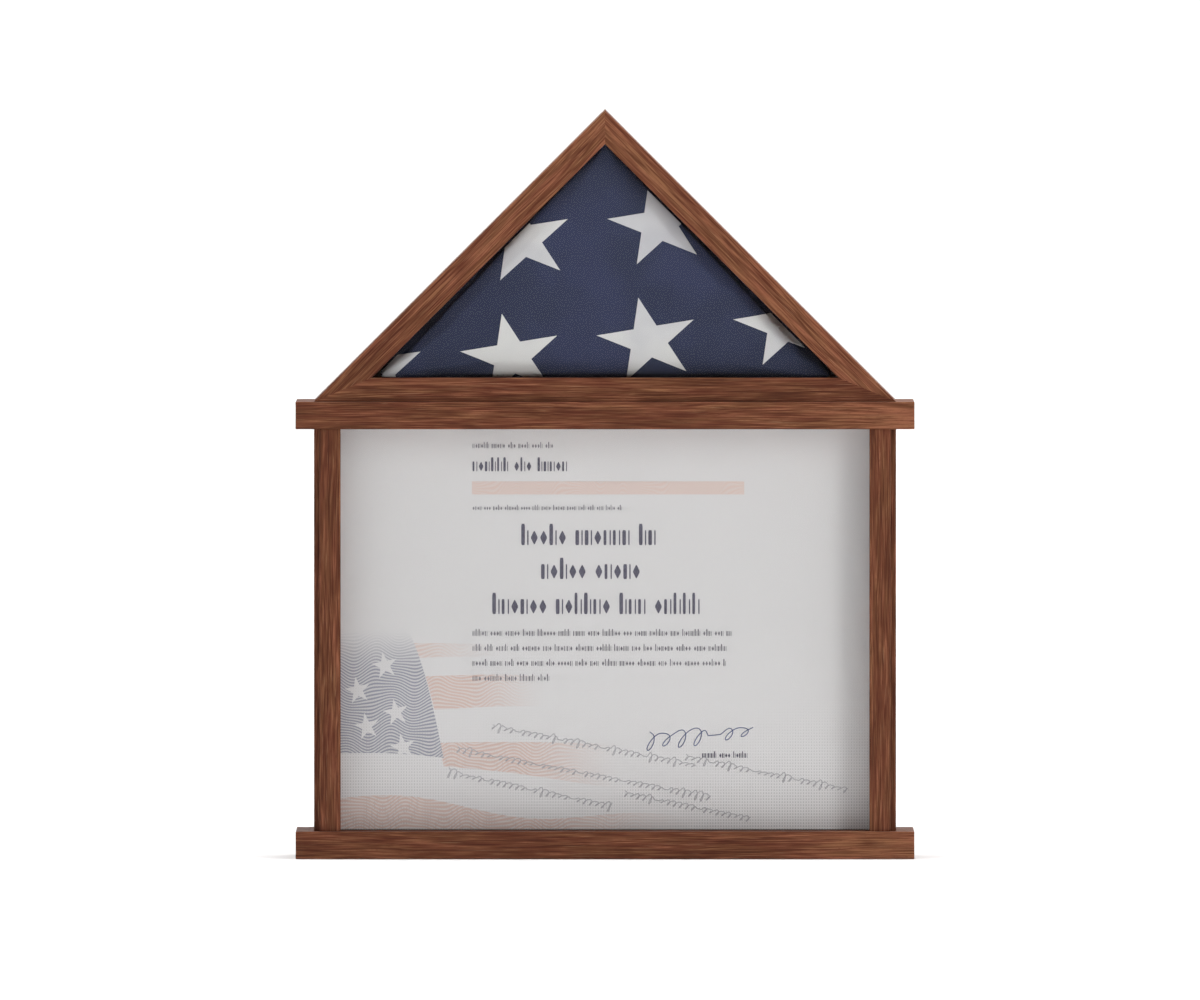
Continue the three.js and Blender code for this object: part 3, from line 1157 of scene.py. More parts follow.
@dataclass
class FlagCase:
    """The upper storey: a mitred triangular frame with a glass, its beads, and a lift-out back panel."""

    wood: WoodFinish
    glass: Material
    board: Material
    screws: AssemblyScrews
    buttons: ButtonHardware
    face_width: float = mm(15.65)
    wall: float = mm(10)
    lip: float = mm(6)
    rabbet_width: float = mm(3)
    rabbet_depth: float = mm(3.2)
    bead: float = mm(4)
    glue_line: float = mm(0.05)
    mitre_gap: float = mm(0.1)  # what the frame leaves free on each side of a mitre
    arris: float = mm(0.45)
    waste: float = mm(10)  # what a blank has beyond each end
    hair: float = mm(0.01)
    bead_round: float = mm(2.2)
    grains: dict[str, Grain] = field(
        default_factory=lambda: {"base": Grain.LEVEL, "right": Grain.FALLING, "left": Grain.RISING}
    )
    pale_parts: dict[str, PalePart] = field(
        default_factory=lambda: {
            "right": PalePart(mm(260), mm(500), 0.11),
            "left": PalePart(mm(320), mm(230), 0.11),
        }
    )

    def corners(self, inset: float) -> list[Vector]:
        """The outer triangle's corners, moved inwards.

        Args:
            inset: how far each side moves in.

        Returns:
            The left, the right and the upper corner.
        """
        low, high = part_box("flag_frame_base")
        half = (high.x - low.x) / 2 + self.end_loss() - inset * (1 + math.sqrt(2))
        bottom = low.z + inset
        return [Vector((-half, 0, bottom)), Vector((half, 0, bottom)), Vector((0, 0, bottom + half))]

    def end_loss(self) -> float:
        """What the mitre gap takes off each sharp corner of the base member."""
        return self.mitre_gap / math.sin(math.radians(22.5))

    def members(self) -> Iterator[MitredMoulding]:
        """The three members of the frame.

        Returns:
            An iterator over the base, the right and the left member.
        """
        narrow = math.radians(22.5)
        wide = math.radians(45)
        yield MitredMoulding("base", 0, 1, narrow, narrow)
        yield MitredMoulding("right", 1, 2, narrow, wide)
        yield MitredMoulding("left", 2, 0, wide, narrow)

    def frame_blank(self, length: float, front: float, rear: float) -> Piece:
        """A length of the frame's moulding: a wall with a front lip and a rabbet for the back panel.

        Args:
            length: length before mitring.
            front: the front face's Y.
            rear: the rear face's Y.

        Returns:
            The length of moulding, from X = 0.
        """
        deselect()
        bpy.ops.mesh.primitive_plane_add(
            size=1, location=(0, (front + rear) / 2, self.wall / 2), rotation=(0, math.radians(90), 0)
        )
        blank = named("moulding")
        blank.scale = (self.wall, rear - front, 1)
        settle(blank)
        lip_rear = front + self.lip
        rabbet_front = rear - self.rabbet_depth
        rabbet_inset = self.wall - self.rabbet_width
        backwards, inwards = (0, 1, 0), (0, 0, 1)
        cuts = [
            ((0, lip_rear, 0), backwards),
            ((0, rabbet_front, 0), backwards),
            ((0, 0, rabbet_inset), inwards),
        ]
        with edit_mode(blank):
            saw(cuts)
            select_where(
                "FACE", lambda face: centre_of(face).y > rabbet_front and centre_of(face).z > rabbet_inset
            )
            bpy.ops.mesh.delete(type="FACE")
            select_where(
                "EDGE",
                lambda edge: all(vert.co.z > self.wall - self.hair for vert in edge.verts)
                and centre_of(edge).y < lip_rear,
            )
            widen = {"value": (0, 0, self.face_width - self.wall)}
            bpy.ops.mesh.extrude_region_move(TRANSFORM_OT_translate=widen)
            bpy.ops.mesh.select_all(action="SELECT")
            bpy.ops.mesh.dissolve_limited()
            bpy.ops.mesh.select_all(action="SELECT")
            bpy.ops.mesh.extrude_region_move(TRANSFORM_OT_translate={"value": (length, 0, 0)})
            turn_outwards()
            select_where("EDGE", lambda edge: run_of(edge).x > length / 2)
            bpy.ops.mesh.bevel(offset=self.arris, segments=3, affect="EDGES")
        return blank

    def frame_member(self, member: MitredMoulding) -> None:
        """Makes one frame member: profiled, mitred, put in its place and drilled.

        Args:
            member: which one.
        """
        low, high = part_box("flag_frame_base")
        corners = self.corners(0)
        blank = self.frame_blank(member.run(corners).length + 2 * self.waste, low.y, high.y)
        blank.data.transform(Matrix.Translation((-self.waste, 0, 0)))
        member.fit(blank, corners)
        self.blunt(blank)
        node = f"flag_frame_{member.side}"
        holes = [self.buttons.pilot(f"turn_button_flag_{member.side}")]
        if member.side == "base":
            holes += self.screws.holes("flag")
        carve(blank, holes)
        smooth(blank)
        wood = self.wood.material(node, self.grains[member.side].value, self.pale_parts.get(member.side))
        mount(named(f"{node}_mitred", blank), wood, CASE, "walnut", node)

    def blunt(self, member: Piece) -> None:
        """Sands the frame's three sharp corners back to the box of its CAD nodes.

        Args:
            member: one member of the frame, in its place.
        """
        low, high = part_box("flag_frame_base")
        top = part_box("flag_frame_left")[1].z
        cuts = [((low.x, 0, 0), (-1, 0, 0)), ((high.x, 0, 0), (1, 0, 0)), ((0, 0, top), (0, 0, 1))]
        with edit_mode(member):
            saw(cuts, use_fill=True, clear_outer=True, threshold=mm(0.001))

    def bead_member(self, member: MitredMoulding) -> None:
        """Makes one glazing bead: a small square strip with its inner rear edge rounded over.

        Args:
            member: the frame member that it lies on.
        """
        node = f"flag_glass_bead_{member.side}"
        low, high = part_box(node)
        corners = self.corners(self.wall + self.glue_line)
        depth = self.bead - self.glue_line
        waste = self.waste / 2
        end = member.run(corners).length + waste
        blank = block("bead", Vector((-waste, low.y, 0)), Vector((end, high.y, depth)))
        with edit_mode(blank):
            middle = Vector((0, (low.y + high.y) / 2, depth / 2))
            select_where(
                "EDGE", lambda edge: all(v.co.y > middle.y and v.co.z > middle.z for v in edge.verts)
            )
            bpy.ops.mesh.bevel(offset=self.bead_round, segments=6, affect="EDGES")
        member.fit(blank, corners)
        smooth(blank)
        wood = self.wood.material(node, self.grains[member.side].value)
        mount(named(f"{node}_rounded", blank), wood, CASE, "walnut", node)

    def build(self) -> None:
        """Builds the frame and its beads, then the glass and the back panel."""
        for member in self.members():
            self.frame_member(member)
            self.bead_member(member)
        pane = triangular_plate("flag_glazing", arris=mm(0.2))
        mount(pane, self.glass, CASE, "clear_glass", "flag_glazing")
        panel = triangular_plate("flag_back_panel", arris=mm(0.4))
        mount(panel, self.board, PANEL, "hardboard", "flag_back_panel")


def fit_to(obj: Piece, low: Vector, high: Vector) -> None:
    """Scales and moves a mesh so that its box is the one between two corners.

    Args:
        obj: the object, whose own place is already in its mesh.
        low: lowest corner.
        high: highest corner.
    """
    points = [vert.co for vert in obj.data.vertices]
    for axis in range(3):
        least = min(point[axis] for point in points)
        most = max(point[axis] for point in points)
        share = (high[axis] - low[axis]) / (most - least)
        for point in points:
            point[axis] = low[axis] + (point[axis] - least) * share
    obj.data.update()


def triangular_plate(node: str, arris: float) -> Piece:
    """A right-angled triangular plate in the place of a CAD node.

    Args:
        node: the node that it stands for.
        arris: the radius of its edges.

    Returns:
        The plate.
    """
    plate = triangular_prism(f"{node}_cut", *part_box(node))
    round_edges(plate, arris, segments=2)
    smooth(plate)
    return plate


def triangular_prism(name: str, low: Vector, high: Vector) -> Piece:
    """A prism with an isosceles triangle in the front view, its base below, between two corners.

    Args:
        name: the new object's name.
        low: lowest corner.
        high: highest corner.

    Returns:
        The prism.
    """
    deselect()
    bpy.ops.mesh.primitive_cylinder_add(vertices=3, rotation=(math.radians(90), 0, 0))
    prism = settle(named(name))
    lowest = min(vert.co.z for vert in prism.data.vertices)
    if sum(vert.co.z < lowest + 0.1 for vert in prism.data.vertices) == 2:
        prism.data.transform(Matrix.Rotation(math.pi, 4, "Y"))
    fit_to(prism, low, high)
    return prism


# ---- Folded flag -----------------------------------------------------------------------------------------


@dataclass
class StarPattern:
    """Five-pointed stars on a slanting lattice."""

    radius: float
    waist: float = 0.382  # inner radius over outer, for straight-edged stars
    tilt: float = math.radians(10.9)
    stretch: float = 1.18

    def shape(self, name: str, cuts: int) -> Piece:
        """One flat star in the front view, meshed finely enough to lie on a soft surface.

        Args:
            name: the new object's name.
            cuts: subdivisions of each of its ten triangles.

        Returns:
            The star, with its middle on the origin.
        """
        deselect()
        bpy.ops.mesh.primitive_circle_add(
            vertices=10, radius=self.radius, fill_type="TRIFAN", rotation=(math.radians(90), 0, 0)
        )
        star = settle(named(name))
        rim = [vert for vert in star.data.vertices if vert.co.length > self.radius / 2]
        for vert in rim:
            angle = math.degrees(math.atan2(vert.co.z, vert.co.x)) - 90
            if round(angle / 36) % 2:
                vert.co *= self.waist
        star.data.transform(Matrix.Rotation(-self.tilt, 4, "Y"))
        star.data.transform(Matrix.Diagonal((self.stretch, 1, 1, 1)))
        with edit_mode(star):
            bpy.ops.mesh.subdivide(number_cuts=cuts)
        return star


def thicken(sheet: Piece, thickness: float, lift: float = 0.0) -> None:
    """Turns a flat sheet's faces to the front and gives it a thickness.

    Args:
        sheet: the sheet.
        thickness: half of it goes to each side.
        lift: how far the sheet is moved to the front.
    """
    if sum(face.normal.y * face.area for face in sheet.data.polygons) > 0:
        sheet.data.flip_normals()
    sheet.data.transform(Matrix.Translation((0, -lift, 0)))
    modify(sheet, "thickness", "SOLIDIFY", thickness=thickness, offset=0.0)


@dataclass
class FoldedFlag:
    """A flag folded into a triangle: a soft bundle of turned layers with sewn stars on its field."""

    cloth: ClothFinish
    star_cloth: ClothFinish
    layers: int = 7
    groove: float = mm(1.1)
    wander: float = 0.15  # how far a groove strays from its level, as a share of a layer
    valley_width: float = 0.35  # the lower, the narrower the grooves
    roll: float = mm(0.9)  # height of the soft rolls on the flat faces
    plump: float = mm(3.5)
    pressed: float = mm(0.7)  # how much the glass, the back and the case's floor flatten the bundle
    voxel: float = mm(3.6)
    star: StarPattern = field(default_factory=lambda: StarPattern(mm(28.9)))
    first_star: Vector = Vector((mm(28.3), 0, mm(25.4)))  # from the middle of the bundle's foot
    along: Vector = Vector((mm(89.6), 0, mm(10.5)))
    upward: Vector = Vector((mm(7.0), 0, mm(76.5)))
    star_lift: float = mm(0.6)
    star_cuts: int = 13
    space: tuple[Vector, Vector] = field(default_factory=lambda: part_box("folded_flag"))

    def build(self) -> None:
        """Makes the bundle, swells it like stuffed cloth and sews the stars on."""
        bundle = self.bundle()
        mount(bundle, self.cloth.material(), CASE, "flag_cloth", "folded_flag")
        mount(self.stars(bundle), self.star_cloth.material(), CASE, "flag_cloth")

    def bundle(self) -> Piece:
        """The triangular bundle, swollen and creased.

        Returns:
            The bundle.
        """
        low, high = self.space
        room = Vector((self.plump * 1.4, -self.pressed, -self.pressed))
        top_room = Vector((self.plump * 1.4, -self.pressed, self.pressed))
        bundle = triangular_prism("flag_bundle", low + room, high - top_room)
        round_edges(bundle, mm(3.0))
        modify(bundle, "even_mesh", "REMESH", mode="VOXEL", voxel_size=self.voxel)
        self.swell(bundle)
        modify(bundle, "fine", "SUBSURF", levels=1, render_levels=1)
        self.crease(bundle)
        smooth(bundle, degrees=60)
        return bundle

    def swell(self, bundle: Piece) -> None:
        """Puffs the bundle out by cloth simulation under a light pressure, up to a limit.

        Args:
            bundle: the bundle, evenly meshed.
        """
        start = [vert.co.copy() for vert in bundle.data.vertices]
        cloth = bundle.modifiers.new("swell", "CLOTH")
        cloth.settings.use_pressure = True
        cloth.settings.uniform_pressure_force = 4.0
        cloth.settings.effector_weights.gravity = 0.0
        cloth.settings.quality = 5
        scene = bpy.context.scene
        for step in range(1, 21):
            scene.frame_set(step)
        pick(bundle)
        bpy.ops.object.modifier_apply(modifier=cloth.name)
        scene.frame_set(1)
        for vert, before in zip(bundle.data.vertices, start):
            moved = vert.co - before
            if moved.length > self.plump:
                vert.co = before + moved.normalized() * self.plump

    def crease(self, bundle: Piece) -> None:
        """Presses the lines between the folded layers into the bundle's sides, and eases its faces.

        Args:
            bundle: the bundle, already finely meshed. It stays inside the space that its case leaves.
        """
        low, high = self.space
        pitch = (high.y - low.y) / self.layers
        moves = []
        for vert in bundle.data.vertices:
            normal = vert.normal
            side = math.hypot(normal.x, normal.z)
            phase = (vert.co.y - low.y) / pitch + self.wander * math.sin(vert.co.x * 23 + vert.co.z * 17)
            valley = abs(math.sin(math.pi * phase)) ** self.valley_width
            press = self.groove * (1 - valley) * side
            roll = self.roll * math.sin(vert.co.x * 31 + 1.1) * math.sin(vert.co.z * 37 + vert.co.x * 9)
            moves.append(-normal * press + Vector((0, roll * (1 - side), 0)))
        for vert, move in zip(bundle.data.vertices, moves):
            vert.co += move
            vert.co.y = min(max(vert.co.y, low.y), high.y)
            vert.co.z = max(vert.co.z, low.z)
        bundle.data.update()

    def stars(self, bundle: Piece) -> Piece:
        """The sewn stars, cut where they turn over the bundle's edges and laid on its front.

        Args:
            bundle: the finished bundle.

        Returns:
            The stars as one piece.
        """
        low, high = self.space
        pattern = self.star.shape("star", self.star_cuts)
        clear = mm(8)
        origin = Vector((0, low.y - clear, low.z)) + self.first_star
        copies = []
        for column, row in ((-2, 0), (-1, 0), (0, 0), (1, 0), (-1, 1), (0, 1)):
            place = origin + self.along * column + self.upward * row
            copies.append(copy_of(pattern, f"star_{column}_{row}", Matrix.Translation(place)))
        discard(pattern)
        stars = joined("flag_stars", copies)
        edge = mm(2)
        side = edge * 2.4
        slope = 1 / math.sqrt(2)
        cuts = [
            ((0, 0, low.z + edge), (0, 0, -1)),
            ((high.x - side, 0, low.z), (slope, 0, slope)),
            ((low.x + side, 0, low.z), (-slope, 0, slope)),
        ]
        with edit_mode(stars):
            saw(cuts, clear_outer=True)
        backwards = {"use_project_y": True, "use_positive_direction": True, "use_negative_direction": False}
        modify(stars, "laid_on", "SHRINKWRAP", target=bundle, wrap_method="PROJECT", **backwards)
        with edit_mode(stars):
            select_where("VERT", lambda vert: vert.co.y < low.y - clear / 2)
            bpy.ops.mesh.delete(type="VERT")
            turn_outwards()
        thicken(stars, self.star_lift, self.star_lift)
        smooth(stars, degrees=40)
        return stars


# ---- Document --------------------------------------------------------------------------------------------


@dataclass
class Document:
    """A printed certificate in generic form: ornament and ruled marks stand where lettering would be."""

    ink_height: float = mm(0.04)

    def front(self) -> float:
        """The Y of the paper's front face."""
        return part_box("document_sheet")[0].y

    def build(self) -> None:
        """Lays the paper and its print on the carrier."""
        paper = Board("document_sheet", arris=mm(0.1)).shape()
        mount(paper, PrintFinish("paper_matt_heavy").material(), CARRIER, "printed_paper", "document_sheet")
        self.build_flag_drawing()
        self.build_marks()

    def patch(
        self,
        name: str,
        left: Callable[[float], float],
        right: Callable[[float], float],
        bottom: Callable[[float], float],
        top: Callable[[float], float],
        layer: int = 1,
    ) -> Piece:
        """A thin printed shape with four curved sides.

        Args:
            name: the new object's name.
            left: the left side's X at a share of the height.
            right: the right side's X at a share of the height.
            bottom: the bottom side's Z at an X.
            top: the top side's Z at an X.
            layer: how many layers of print lie under it.

        Returns:
            The shape, as thick as its ink.
        """
        deselect()
        bpy.ops.mesh.primitive_grid_add(
            x_subdivisions=48, y_subdivisions=10, size=1, rotation=(math.radians(90), 0, 0)
        )
        shape = settle(named(name))
        level = self.front() - self.ink_height * (layer + 0.5)
        for vert in shape.data.vertices:
            across, up = vert.co.x + 0.5, vert.co.z + 0.5
            x = left(up) * (1 - across) + right(up) * across
            vert.co = Vector((x, level, bottom(x) * (1 - up) + top(x) * up))
        thicken(shape, self.ink_height)
        return shape

    def lay(self, piece: Piece, ink: Material) -> None:
        """Puts one piece of print on the carrier."""
        mount(piece, ink, CARRIER, "printed_paper")

    def build_flag_drawing(self) -> None:
        """The faded flag printed in the lower left corner: a canton with stars, and waving stripes."""
        low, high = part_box("document_sheet")
        edge = low.x + mm(0.3)

        def fly(height: float) -> float:
            """The canton's right side, which leans out towards the bottom."""
            return mm(-106 - 20 * height - 9 * height**4)

        def wave(level: float, drop: float, size: float, start: float) -> Callable[[float], float]:
            """A waving edge that starts at a level and drops to the right.

            Args:
                level: its Z where it starts, in millimetres.
                drop: millimetres that it drops in a metre.
                size: half the height of its waves, in millimetres.
                start: the X where it starts, in millimetres.

            Returns:
                The edge's Z at an X.
            """
            return lambda x: mm(level - drop * (x - mm(start)) + size * math.sin((x - mm(start)) * 38))

        canton = self.patch(
            "print_canton", lambda up: edge, fly, wave(68.4, 60, 2.2, -174), lambda x: mm(160), layer=2
        )
        slate = PrintFinish(
            "ink_slate_engraved",
            ink="9798a3",
            line_pitch=mm(2.0),
            line_share=0.75,
            fade_from=mm(122),
            fade_to=mm(154),
        )
        self.lay(canton, slate.material())
        across = (1.0, 0.0, 0.0)
        foot = low.z + mm(0.3)

        def mid(up: float) -> float:
            """The canton's right side beside the upper stripe."""
            return fly(0.3 + up / 4)

        stripes = (
            ("faint", -60, -150, lambda up: fly(0.8), wave(131, 0, 1, -130), wave(141, 40, 1, -130)),
            ("upper", -30, -95, mid, wave(96.6, -35, 1, -118), wave(119, -5, 1, -118)),
            ("middle", 20, -60, lambda up: fly(0.16 * up), wave(60, 120, 1, -106), wave(75.4, 0, 0.6, -106)),
            ("lower", 70, -50, lambda up: edge, lambda x: foot, wave(39, 70, 4.5, -174)),
        )
        for name, right, fade_from, left, bottom, top in stripes:
            rose = PrintFinish(
                f"ink_rose_{name}",
                ink="d3bab0",
                line_share=0.65,
                fade_along=across,
                fade_from=mm(fade_from),
                fade_to=mm(right - 5),
            )
            stripe = self.patch(f"print_stripe_{name}", left, lambda up: mm(right), bottom, top)
            self.lay(stripe, rose.material())
        self.build_canton_stars()

    def build_canton_stars(self) -> None:
        """The drawn flag's small stars, left in the colour of the paper."""
        pattern = StarPattern(mm(9.2), stretch=0.95).shape("small_star", 0)
        spots = ((-144.6, 126.2), (-162.4, 109.8), (-137.4, 95.3), (-156.5, 86.1), (-132.8, 72.6))
        level = self.front() - self.ink_height * 3.5
        stars = [
            copy_of(pattern, f"small_star_{i}", Matrix.Translation((mm(x), level, mm(z))))
            for i, (x, z) in enumerate(spots)
        ]
        discard(pattern)
        group = joined("print_canton_stars", stars)
        thicken(group, self.ink_height)
        self.lay(group, PrintFinish("paper_star_unprinted").material())

    def build_marks(self) -> None:
        """The rows of marks that stand for text, the tinted bar, the flourish and the small rules."""
        slate = InkFinish("ink_slate", "4b4858", "6c6a78").material()
        grey = InkFinish("ink_grey", "77757c", "908e94").material()
        rows = GreekedText(self)
        margin = -87
        for name, start, level, width, height, ink in (
            ("caption", margin, 271, 53, 4.2, grey),
            ("name", margin, 258.4, 62, 9.2, slate),
            ("small_line", margin, 230, 98, 3.6, grey),
            ("title_0", -55, 212.3, 89, 14.0, slate),
            ("title_1", -42, 190, 61, 14.0, slate),
            ("title_2", -74, 167, 140, 14.0, slate),
            ("paragraph_0", margin, 147.9, 169, 4.6, grey),
            ("paragraph_1", margin, 138, 166, 4.6, grey),
            ("paragraph_2", margin, 128.2, 166, 4.6, grey),
            ("paragraph_3", margin, 118.3, 50, 4.6, grey),
            ("signature_name", 63.8, 67.7, 30, 4.4, slate),
        ):
            rows.line(f"print_{name}", mm(start), mm(level), mm(width), mm(height), ink)
        left, right, bottom, top = (lambda _, side=mm(side): side for side in (-87.4, 91.4, 238.6, 247.2))
        bar = self.patch("print_bar", left, right, bottom, top)
        self.lay(bar, PrintFinish("ink_rose_bar", ink="d6c2ba", line_share=0.3, swell=mm(7)).material())
        self.pen_work()

    def pen_work(self) -> None:
        """A flourish of loops in blue ink, of no one's hand, and rows of faded scribble under it."""
        blue = InkFinish("ink_blue_pen", "3f4a72", "5a6690").material()
        self.pen_line("print_flourish", (26, 76), (98, 83), 6.6, 7, 0.33, blue)
        faded = InkFinish("ink_grey_faded", "9f9da2", "bbbabe").material()
        rows = (
            ((-75, 86), (60, 60)),
            ((-98, 71), (70, 39)),
            ((-104, 56), (5, 33)),
            ((52, 66), (160, 44)),
            ((12, 42), (96, 25)),
        )
        for index, (start, end) in enumerate(rows):
            loops = round((end[0] - start[0]) / 4.0)
            self.pen_line(f"print_scribble_{index}", start, end, 1.8, loops, 0.28, faded)

    def pen_line(
        self,
        name: str,
        start: tuple[float, float],
        end: tuple[float, float],
        height: float,
        loops: int,
        thickness: float,
        material: Material,
    ) -> None:
        """A line of joined loops from one point of the sheet to another, broken into word-like groups.

        Args:
            name: the line's name, which also seeds it.
            start: X and Z of its start, in millimetres.
            end: X and Z of its end, in millimetres.
            height: half the height of a common loop, in millimetres.
            loops: how many loops it has.
            thickness: half the width of the stroke, in millimetres.
            material: the ink.
        """
        deselect()
        bpy.ops.curve.primitive_nurbs_path_add()
        pen = bpy.context.object
        spline = pen.data.splines[0]
        draw = random.Random(name)
        heights = [height * draw.choice((0.5, 0.7, 1.0, 1.0, 1.9)) for _ in range(loops)]
        for gap in range(draw.randint(4, 7), loops - 2, 7):
            heights[gap] = 0.0
        per_loop = 10
        count = loops * per_loop
        spline.points.add(count - len(spline.points))
        lean = (end[0] - start[0]) / loops * 0.5
        for index, point in enumerate(spline.points):
            turn = index / per_loop * 2 * math.pi
            share = index / count
            tall = heights[index // per_loop]
            swing = lean if tall else 0.0
            x = start[0] + (end[0] - start[0]) * share + swing * math.sin(turn + 0.7)
            z = start[1] + (end[1] - start[1]) * share + tall * math.cos(turn)
            point.co = (mm(x), 0, mm(z), 1)
        pen.data.resolution_u = 3
        pen.data.bevel_depth = mm(thickness)
        pen.data.bevel_resolution = 1
        pen.data.use_fill_caps = True
        pick(pen)
        bpy.ops.object.convert(target="MESH")
        stroke = named(name)
        lowest = min(vert.co.y for vert in stroke.data.vertices)
        span = max(vert.co.y for vert in stroke.data.vertices) - lowest
        level = self.front() - self.ink_height * 5
        for vert in stroke.data.vertices:
            vert.co.y = level + (vert.co.y - lowest) / span * self.ink_height
        self.lay(settle(stroke), material)


@dataclass
class GreekedText:
    """Rows of upright marks in word-like groups, which read as text from afar and say nothing close up."""

    page: Document

    def line(
        self, name: str, start: float, level: float, width: float, height: float, material: Material
    ) -> None:
        """One row of marks.

        Args:
            name: the row's name, which also seeds its marks.
            start: the row's left end.
            level: the Z of its middle.
            width: its length.
            height: the height of its marks.
            material: the ink.
        """
        draw = random.Random(name)
        bar, lozenge = self.bar(), self.lozenge()
        marks = []
        x = start
        left_in_word = draw.randint(3, 6)
        while x < start + width:
            if draw.random() < 0.45:
                marks.append((lozenge, x, height * 0.34, height * 0.7))
                x += height * 0.44
            else:
                tall = height * draw.choice((0.7, 0.7, 1.0))
                marks.append((bar, x, height * draw.choice((0.13, 0.17)), tall))
                marks.append((bar, x + height * 0.28, height * 0.06, height * 0.7))
                x += height * 0.44
            left_in_word -= 1
            if left_in_word == 0:
                x += height * 0.34
                left_in_word = draw.randint(3, 6)
        y = self.page.front() - self.page.ink_height * 4.5
        foot = level - height / 2
        copies = [
            copy_of(
                pattern,
                f"{name}_{index}",
                Matrix.Translation((at, y, foot)) @ Matrix.Diagonal((wide, self.page.ink_height, tall, 1)),
            )
            for index, (pattern, at, wide, tall) in enumerate(marks)
        ]
        discard(bar, lozenge)
        self.page.lay(joined(name, copies), material)

    def bar(self) -> Piece:
        """One upright bar, a unit wide and high, with clipped corners.

        Returns:
            The bar, with its left foot on the origin.
        """
        return self.clipped(block("bar", Vector((0, -0.5, 0)), Vector((1, 0.5, 1))), 0.12)

    def lozenge(self) -> Piece:
        """One lozenge in the same unit square, with its points clipped.

        Returns:
            The lozenge.
        """
        deselect()
        bpy.ops.mesh.primitive_cylinder_add(
            vertices=4, radius=0.5, depth=1, location=(0.5, 0, 0.5), rotation=(math.radians(90), 0, 0)
        )
        return self.clipped(settle(named("lozenge")), 0.08)

    def clipped(self, mark: Piece, size: float) -> Piece:
        """A mark with the corners of its outline clipped.

        Args:
            mark: the mark, a unit deep.
            size: how much is clipped.

        Returns:
            The mark.
        """
        with edit_mode(mark):
            select_where("EDGE", lambda edge: run_of(edge).y > 0.5)
            bpy.ops.mesh.bevel(offset=size, segments=1, affect="EDGES")
        return mark


@dataclass
class DocumentCarrier:
    """What lifts out of the document box: mount board, ribs and back panel, with the document in front."""

    board: Material

    def build(self) -> None:
        """Builds the carrier from the front backwards."""
        for node in ("document_mount_board", "carrier_back_panel"):
            mount(Board(node, arris=mm(0.4)).shape(), self.board, CARRIER, "hardboard", node)
        poplar = WoodFinish(
            label="poplar_planed",
            darkest="a48c64",
            deep="b59f76",
            middle="c6ae86",
            light="d3be98",
            palest="dcc8a4",
            streak="e2d1b0",
            roughness=0.7,
            gloss=0.1,
        )
        for side in ("left", "right", "bottom", "top"):
            grain = Grain.UPRIGHT if side in ("left", "right") else Grain.LEVEL
            node = f"carrier_rib_{side}"
            rib = Board(node, arris=mm(0.5)).shape()
            mount(rib, poplar.material(node, grain.value), CARRIER, "poplar", node)
        Document().build()


# ---- Studio ----------------------------------------------------------------------------------------------


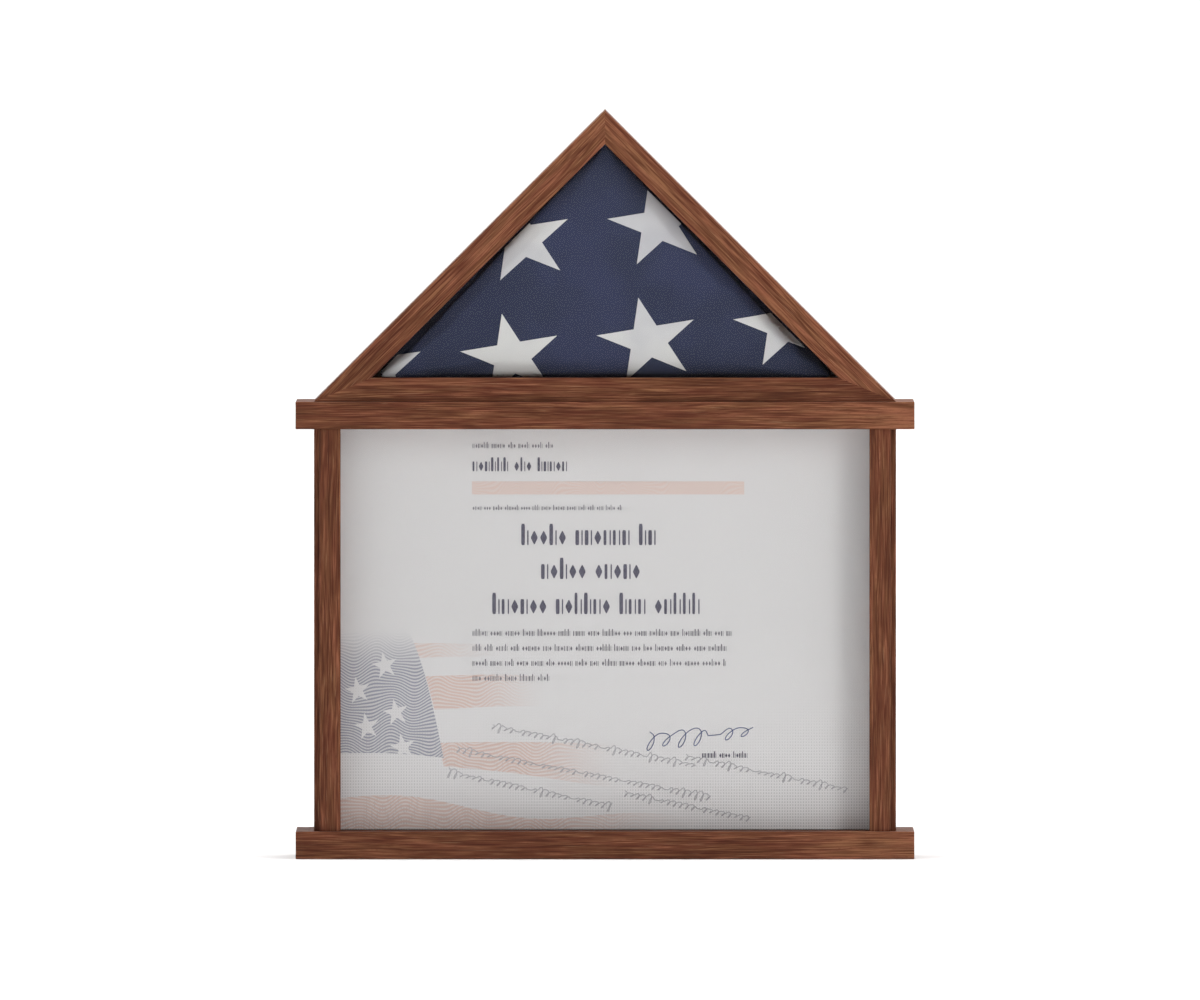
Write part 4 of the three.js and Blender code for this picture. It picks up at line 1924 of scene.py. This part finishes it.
@dataclass
class Studio:
    """A pale floor, soft light from the upper right, and a camera a long way in front."""

    lens: float = 954.0
    distance: float = 20.9
    pitch: float = math.radians(1.44)
    aim: Vector = Vector((mm(-3.3), 0, mm(234.5)))
    key_azimuth: float = math.radians(43)
    key_height: float = math.radians(19)
    key_distance: float = 4.0
    key_width: float = 1.1
    key_tall: float = 2.5
    key_power: float = 42.0
    overhead_power: float = 2.95
    overhead_spread: float = math.radians(20)
    floor_size: float = 400.0
    floor_drop: float = mm(0.2)  # how far the floor lies under the base rail
    floor_mottle: float = 40.0  # mottles in a metre
    glow: float = 0.31
    backdrop: float = 2.5  # how bright the low strip behind the case is

    def build(self) -> None:
        """Adds the camera, the floor and the lights."""
        self.camera()
        self.floor()
        self.lights()

    def camera(self) -> None:
        """A long lens that looks slightly down on the front."""
        data = bpy.data.cameras.new("camera")
        data.lens = self.lens
        data.clip_end = 200
        camera = bpy.data.objects.new("camera", data)
        bpy.context.scene.collection.objects.link(camera)
        back = Vector((0, -math.cos(self.pitch), math.sin(self.pitch)))
        camera.location = self.aim + back * self.distance
        camera.rotation_euler = Euler((math.radians(90) - self.pitch, 0, 0))
        bpy.context.scene.camera = camera

    def floor(self) -> None:
        """A pale matt floor that runs out of sight."""
        deselect()
        bpy.ops.mesh.primitive_plane_add(size=self.floor_size, location=(0, 0, -self.floor_drop))
        floor = settle(named("floor"))
        material, add = new_material("floor_pale_paint")
        mottle = add("TexNoise", {"Vector": add("TexCoord", {}, out="Object"), "Scale": self.floor_mottle})
        tones = {"Factor": mottle, "A": colour("fbfbfb"), "B": colour("fdfdfd")}
        finish_surface(add, {"Base Color": add("Mix", tones, data_type="RGBA"), "Roughness": 0.9})
        wear(floor, material)

    def lights(self) -> None:
        """A dim white room with a bright low backdrop, a key light, and an even light straight down."""
        world = bpy.data.worlds.new("white_room")
        world.use_nodes = True
        world.node_tree.nodes.clear()
        add = partial(add_node, world.node_tree)
        way = add("TexCoord", {}, out="Generated")
        low_behind = add("VectorMath", {0: way, 1: (0.0, 1.0, -3.0)}, operation="DOT_PRODUCT")
        levels = {"From Min": 0.1, "From Max": 0.6, "To Min": self.glow, "To Max": self.backdrop}
        glow = add("MapRange", {"Value": low_behind, **levels})
        seen = add("LightPath", {}, out="Is Camera Ray")
        strength = add("Mix", {"Factor": seen, "A": glow, "B": 1.0}, data_type="FLOAT")
        room = add("Background", {"Color": colour("ffffff"), "Strength": strength})
        add("OutputWorld", {"Surface": room})
        bpy.context.scene.world = world
        bpy.context.scene.view_settings.view_transform = "Standard"
        towards = Euler((-self.key_height, 0, self.key_azimuth)).to_matrix() @ Vector((0, -1, 0))
        panel = bpy.data.lights.new("key", "AREA")
        panel.shape = "RECTANGLE"
        panel.size = self.key_width
        panel.size_y = self.key_tall
        panel.energy = self.key_power
        key = bpy.data.objects.new("key", panel)
        key.location = self.aim + towards * self.key_distance
        key.rotation_euler = (-towards).to_track_quat("-Z", "Y").to_euler()
        key.visible_camera = False
        sun = bpy.data.lights.new("overhead", "SUN")
        sun.angle = self.overhead_spread
        sun.energy = self.overhead_power
        for light in (key, bpy.data.objects.new("overhead", sun)):
            bpy.context.scene.collection.objects.link(light)


def main() -> None:
    """Builds the studio and then the case, storey by storey."""
    logging.basicConfig(level=logging.INFO, format="%(name)s %(message)s")
    Studio().build()
    walnut = WoodFinish()
    glass = GlassFinish().material()
    hardboard = FibreboardFinish().material()
    screws = AssemblyScrews(MetalFinish("steel_bright_zinc", "a9acb0", "8f9296", 0.34))
    buttons = ButtonHardware(MetalFinish("brass_tumbled", "b08d3c", "c8a552", 0.32))
    DocumentBox(walnut, glass, screws, buttons).build()
    DocumentCarrier(hardboard).build()
    FlagCase(walnut, glass, hardboard, screws, buttons).build()
    FoldedFlag(
        ClothFinish("flag_navy_woven", "363b50", "393e53", "3c415a", patch=mm(70), contrast=1.2),
        ClothFinish("star_white_woven", "c4c4c8", "d1d1d2", "dadad8", contrast=1.2),
    ).build()
    screws.build()
    buttons.build()


if __name__ == "__main__":
    main()
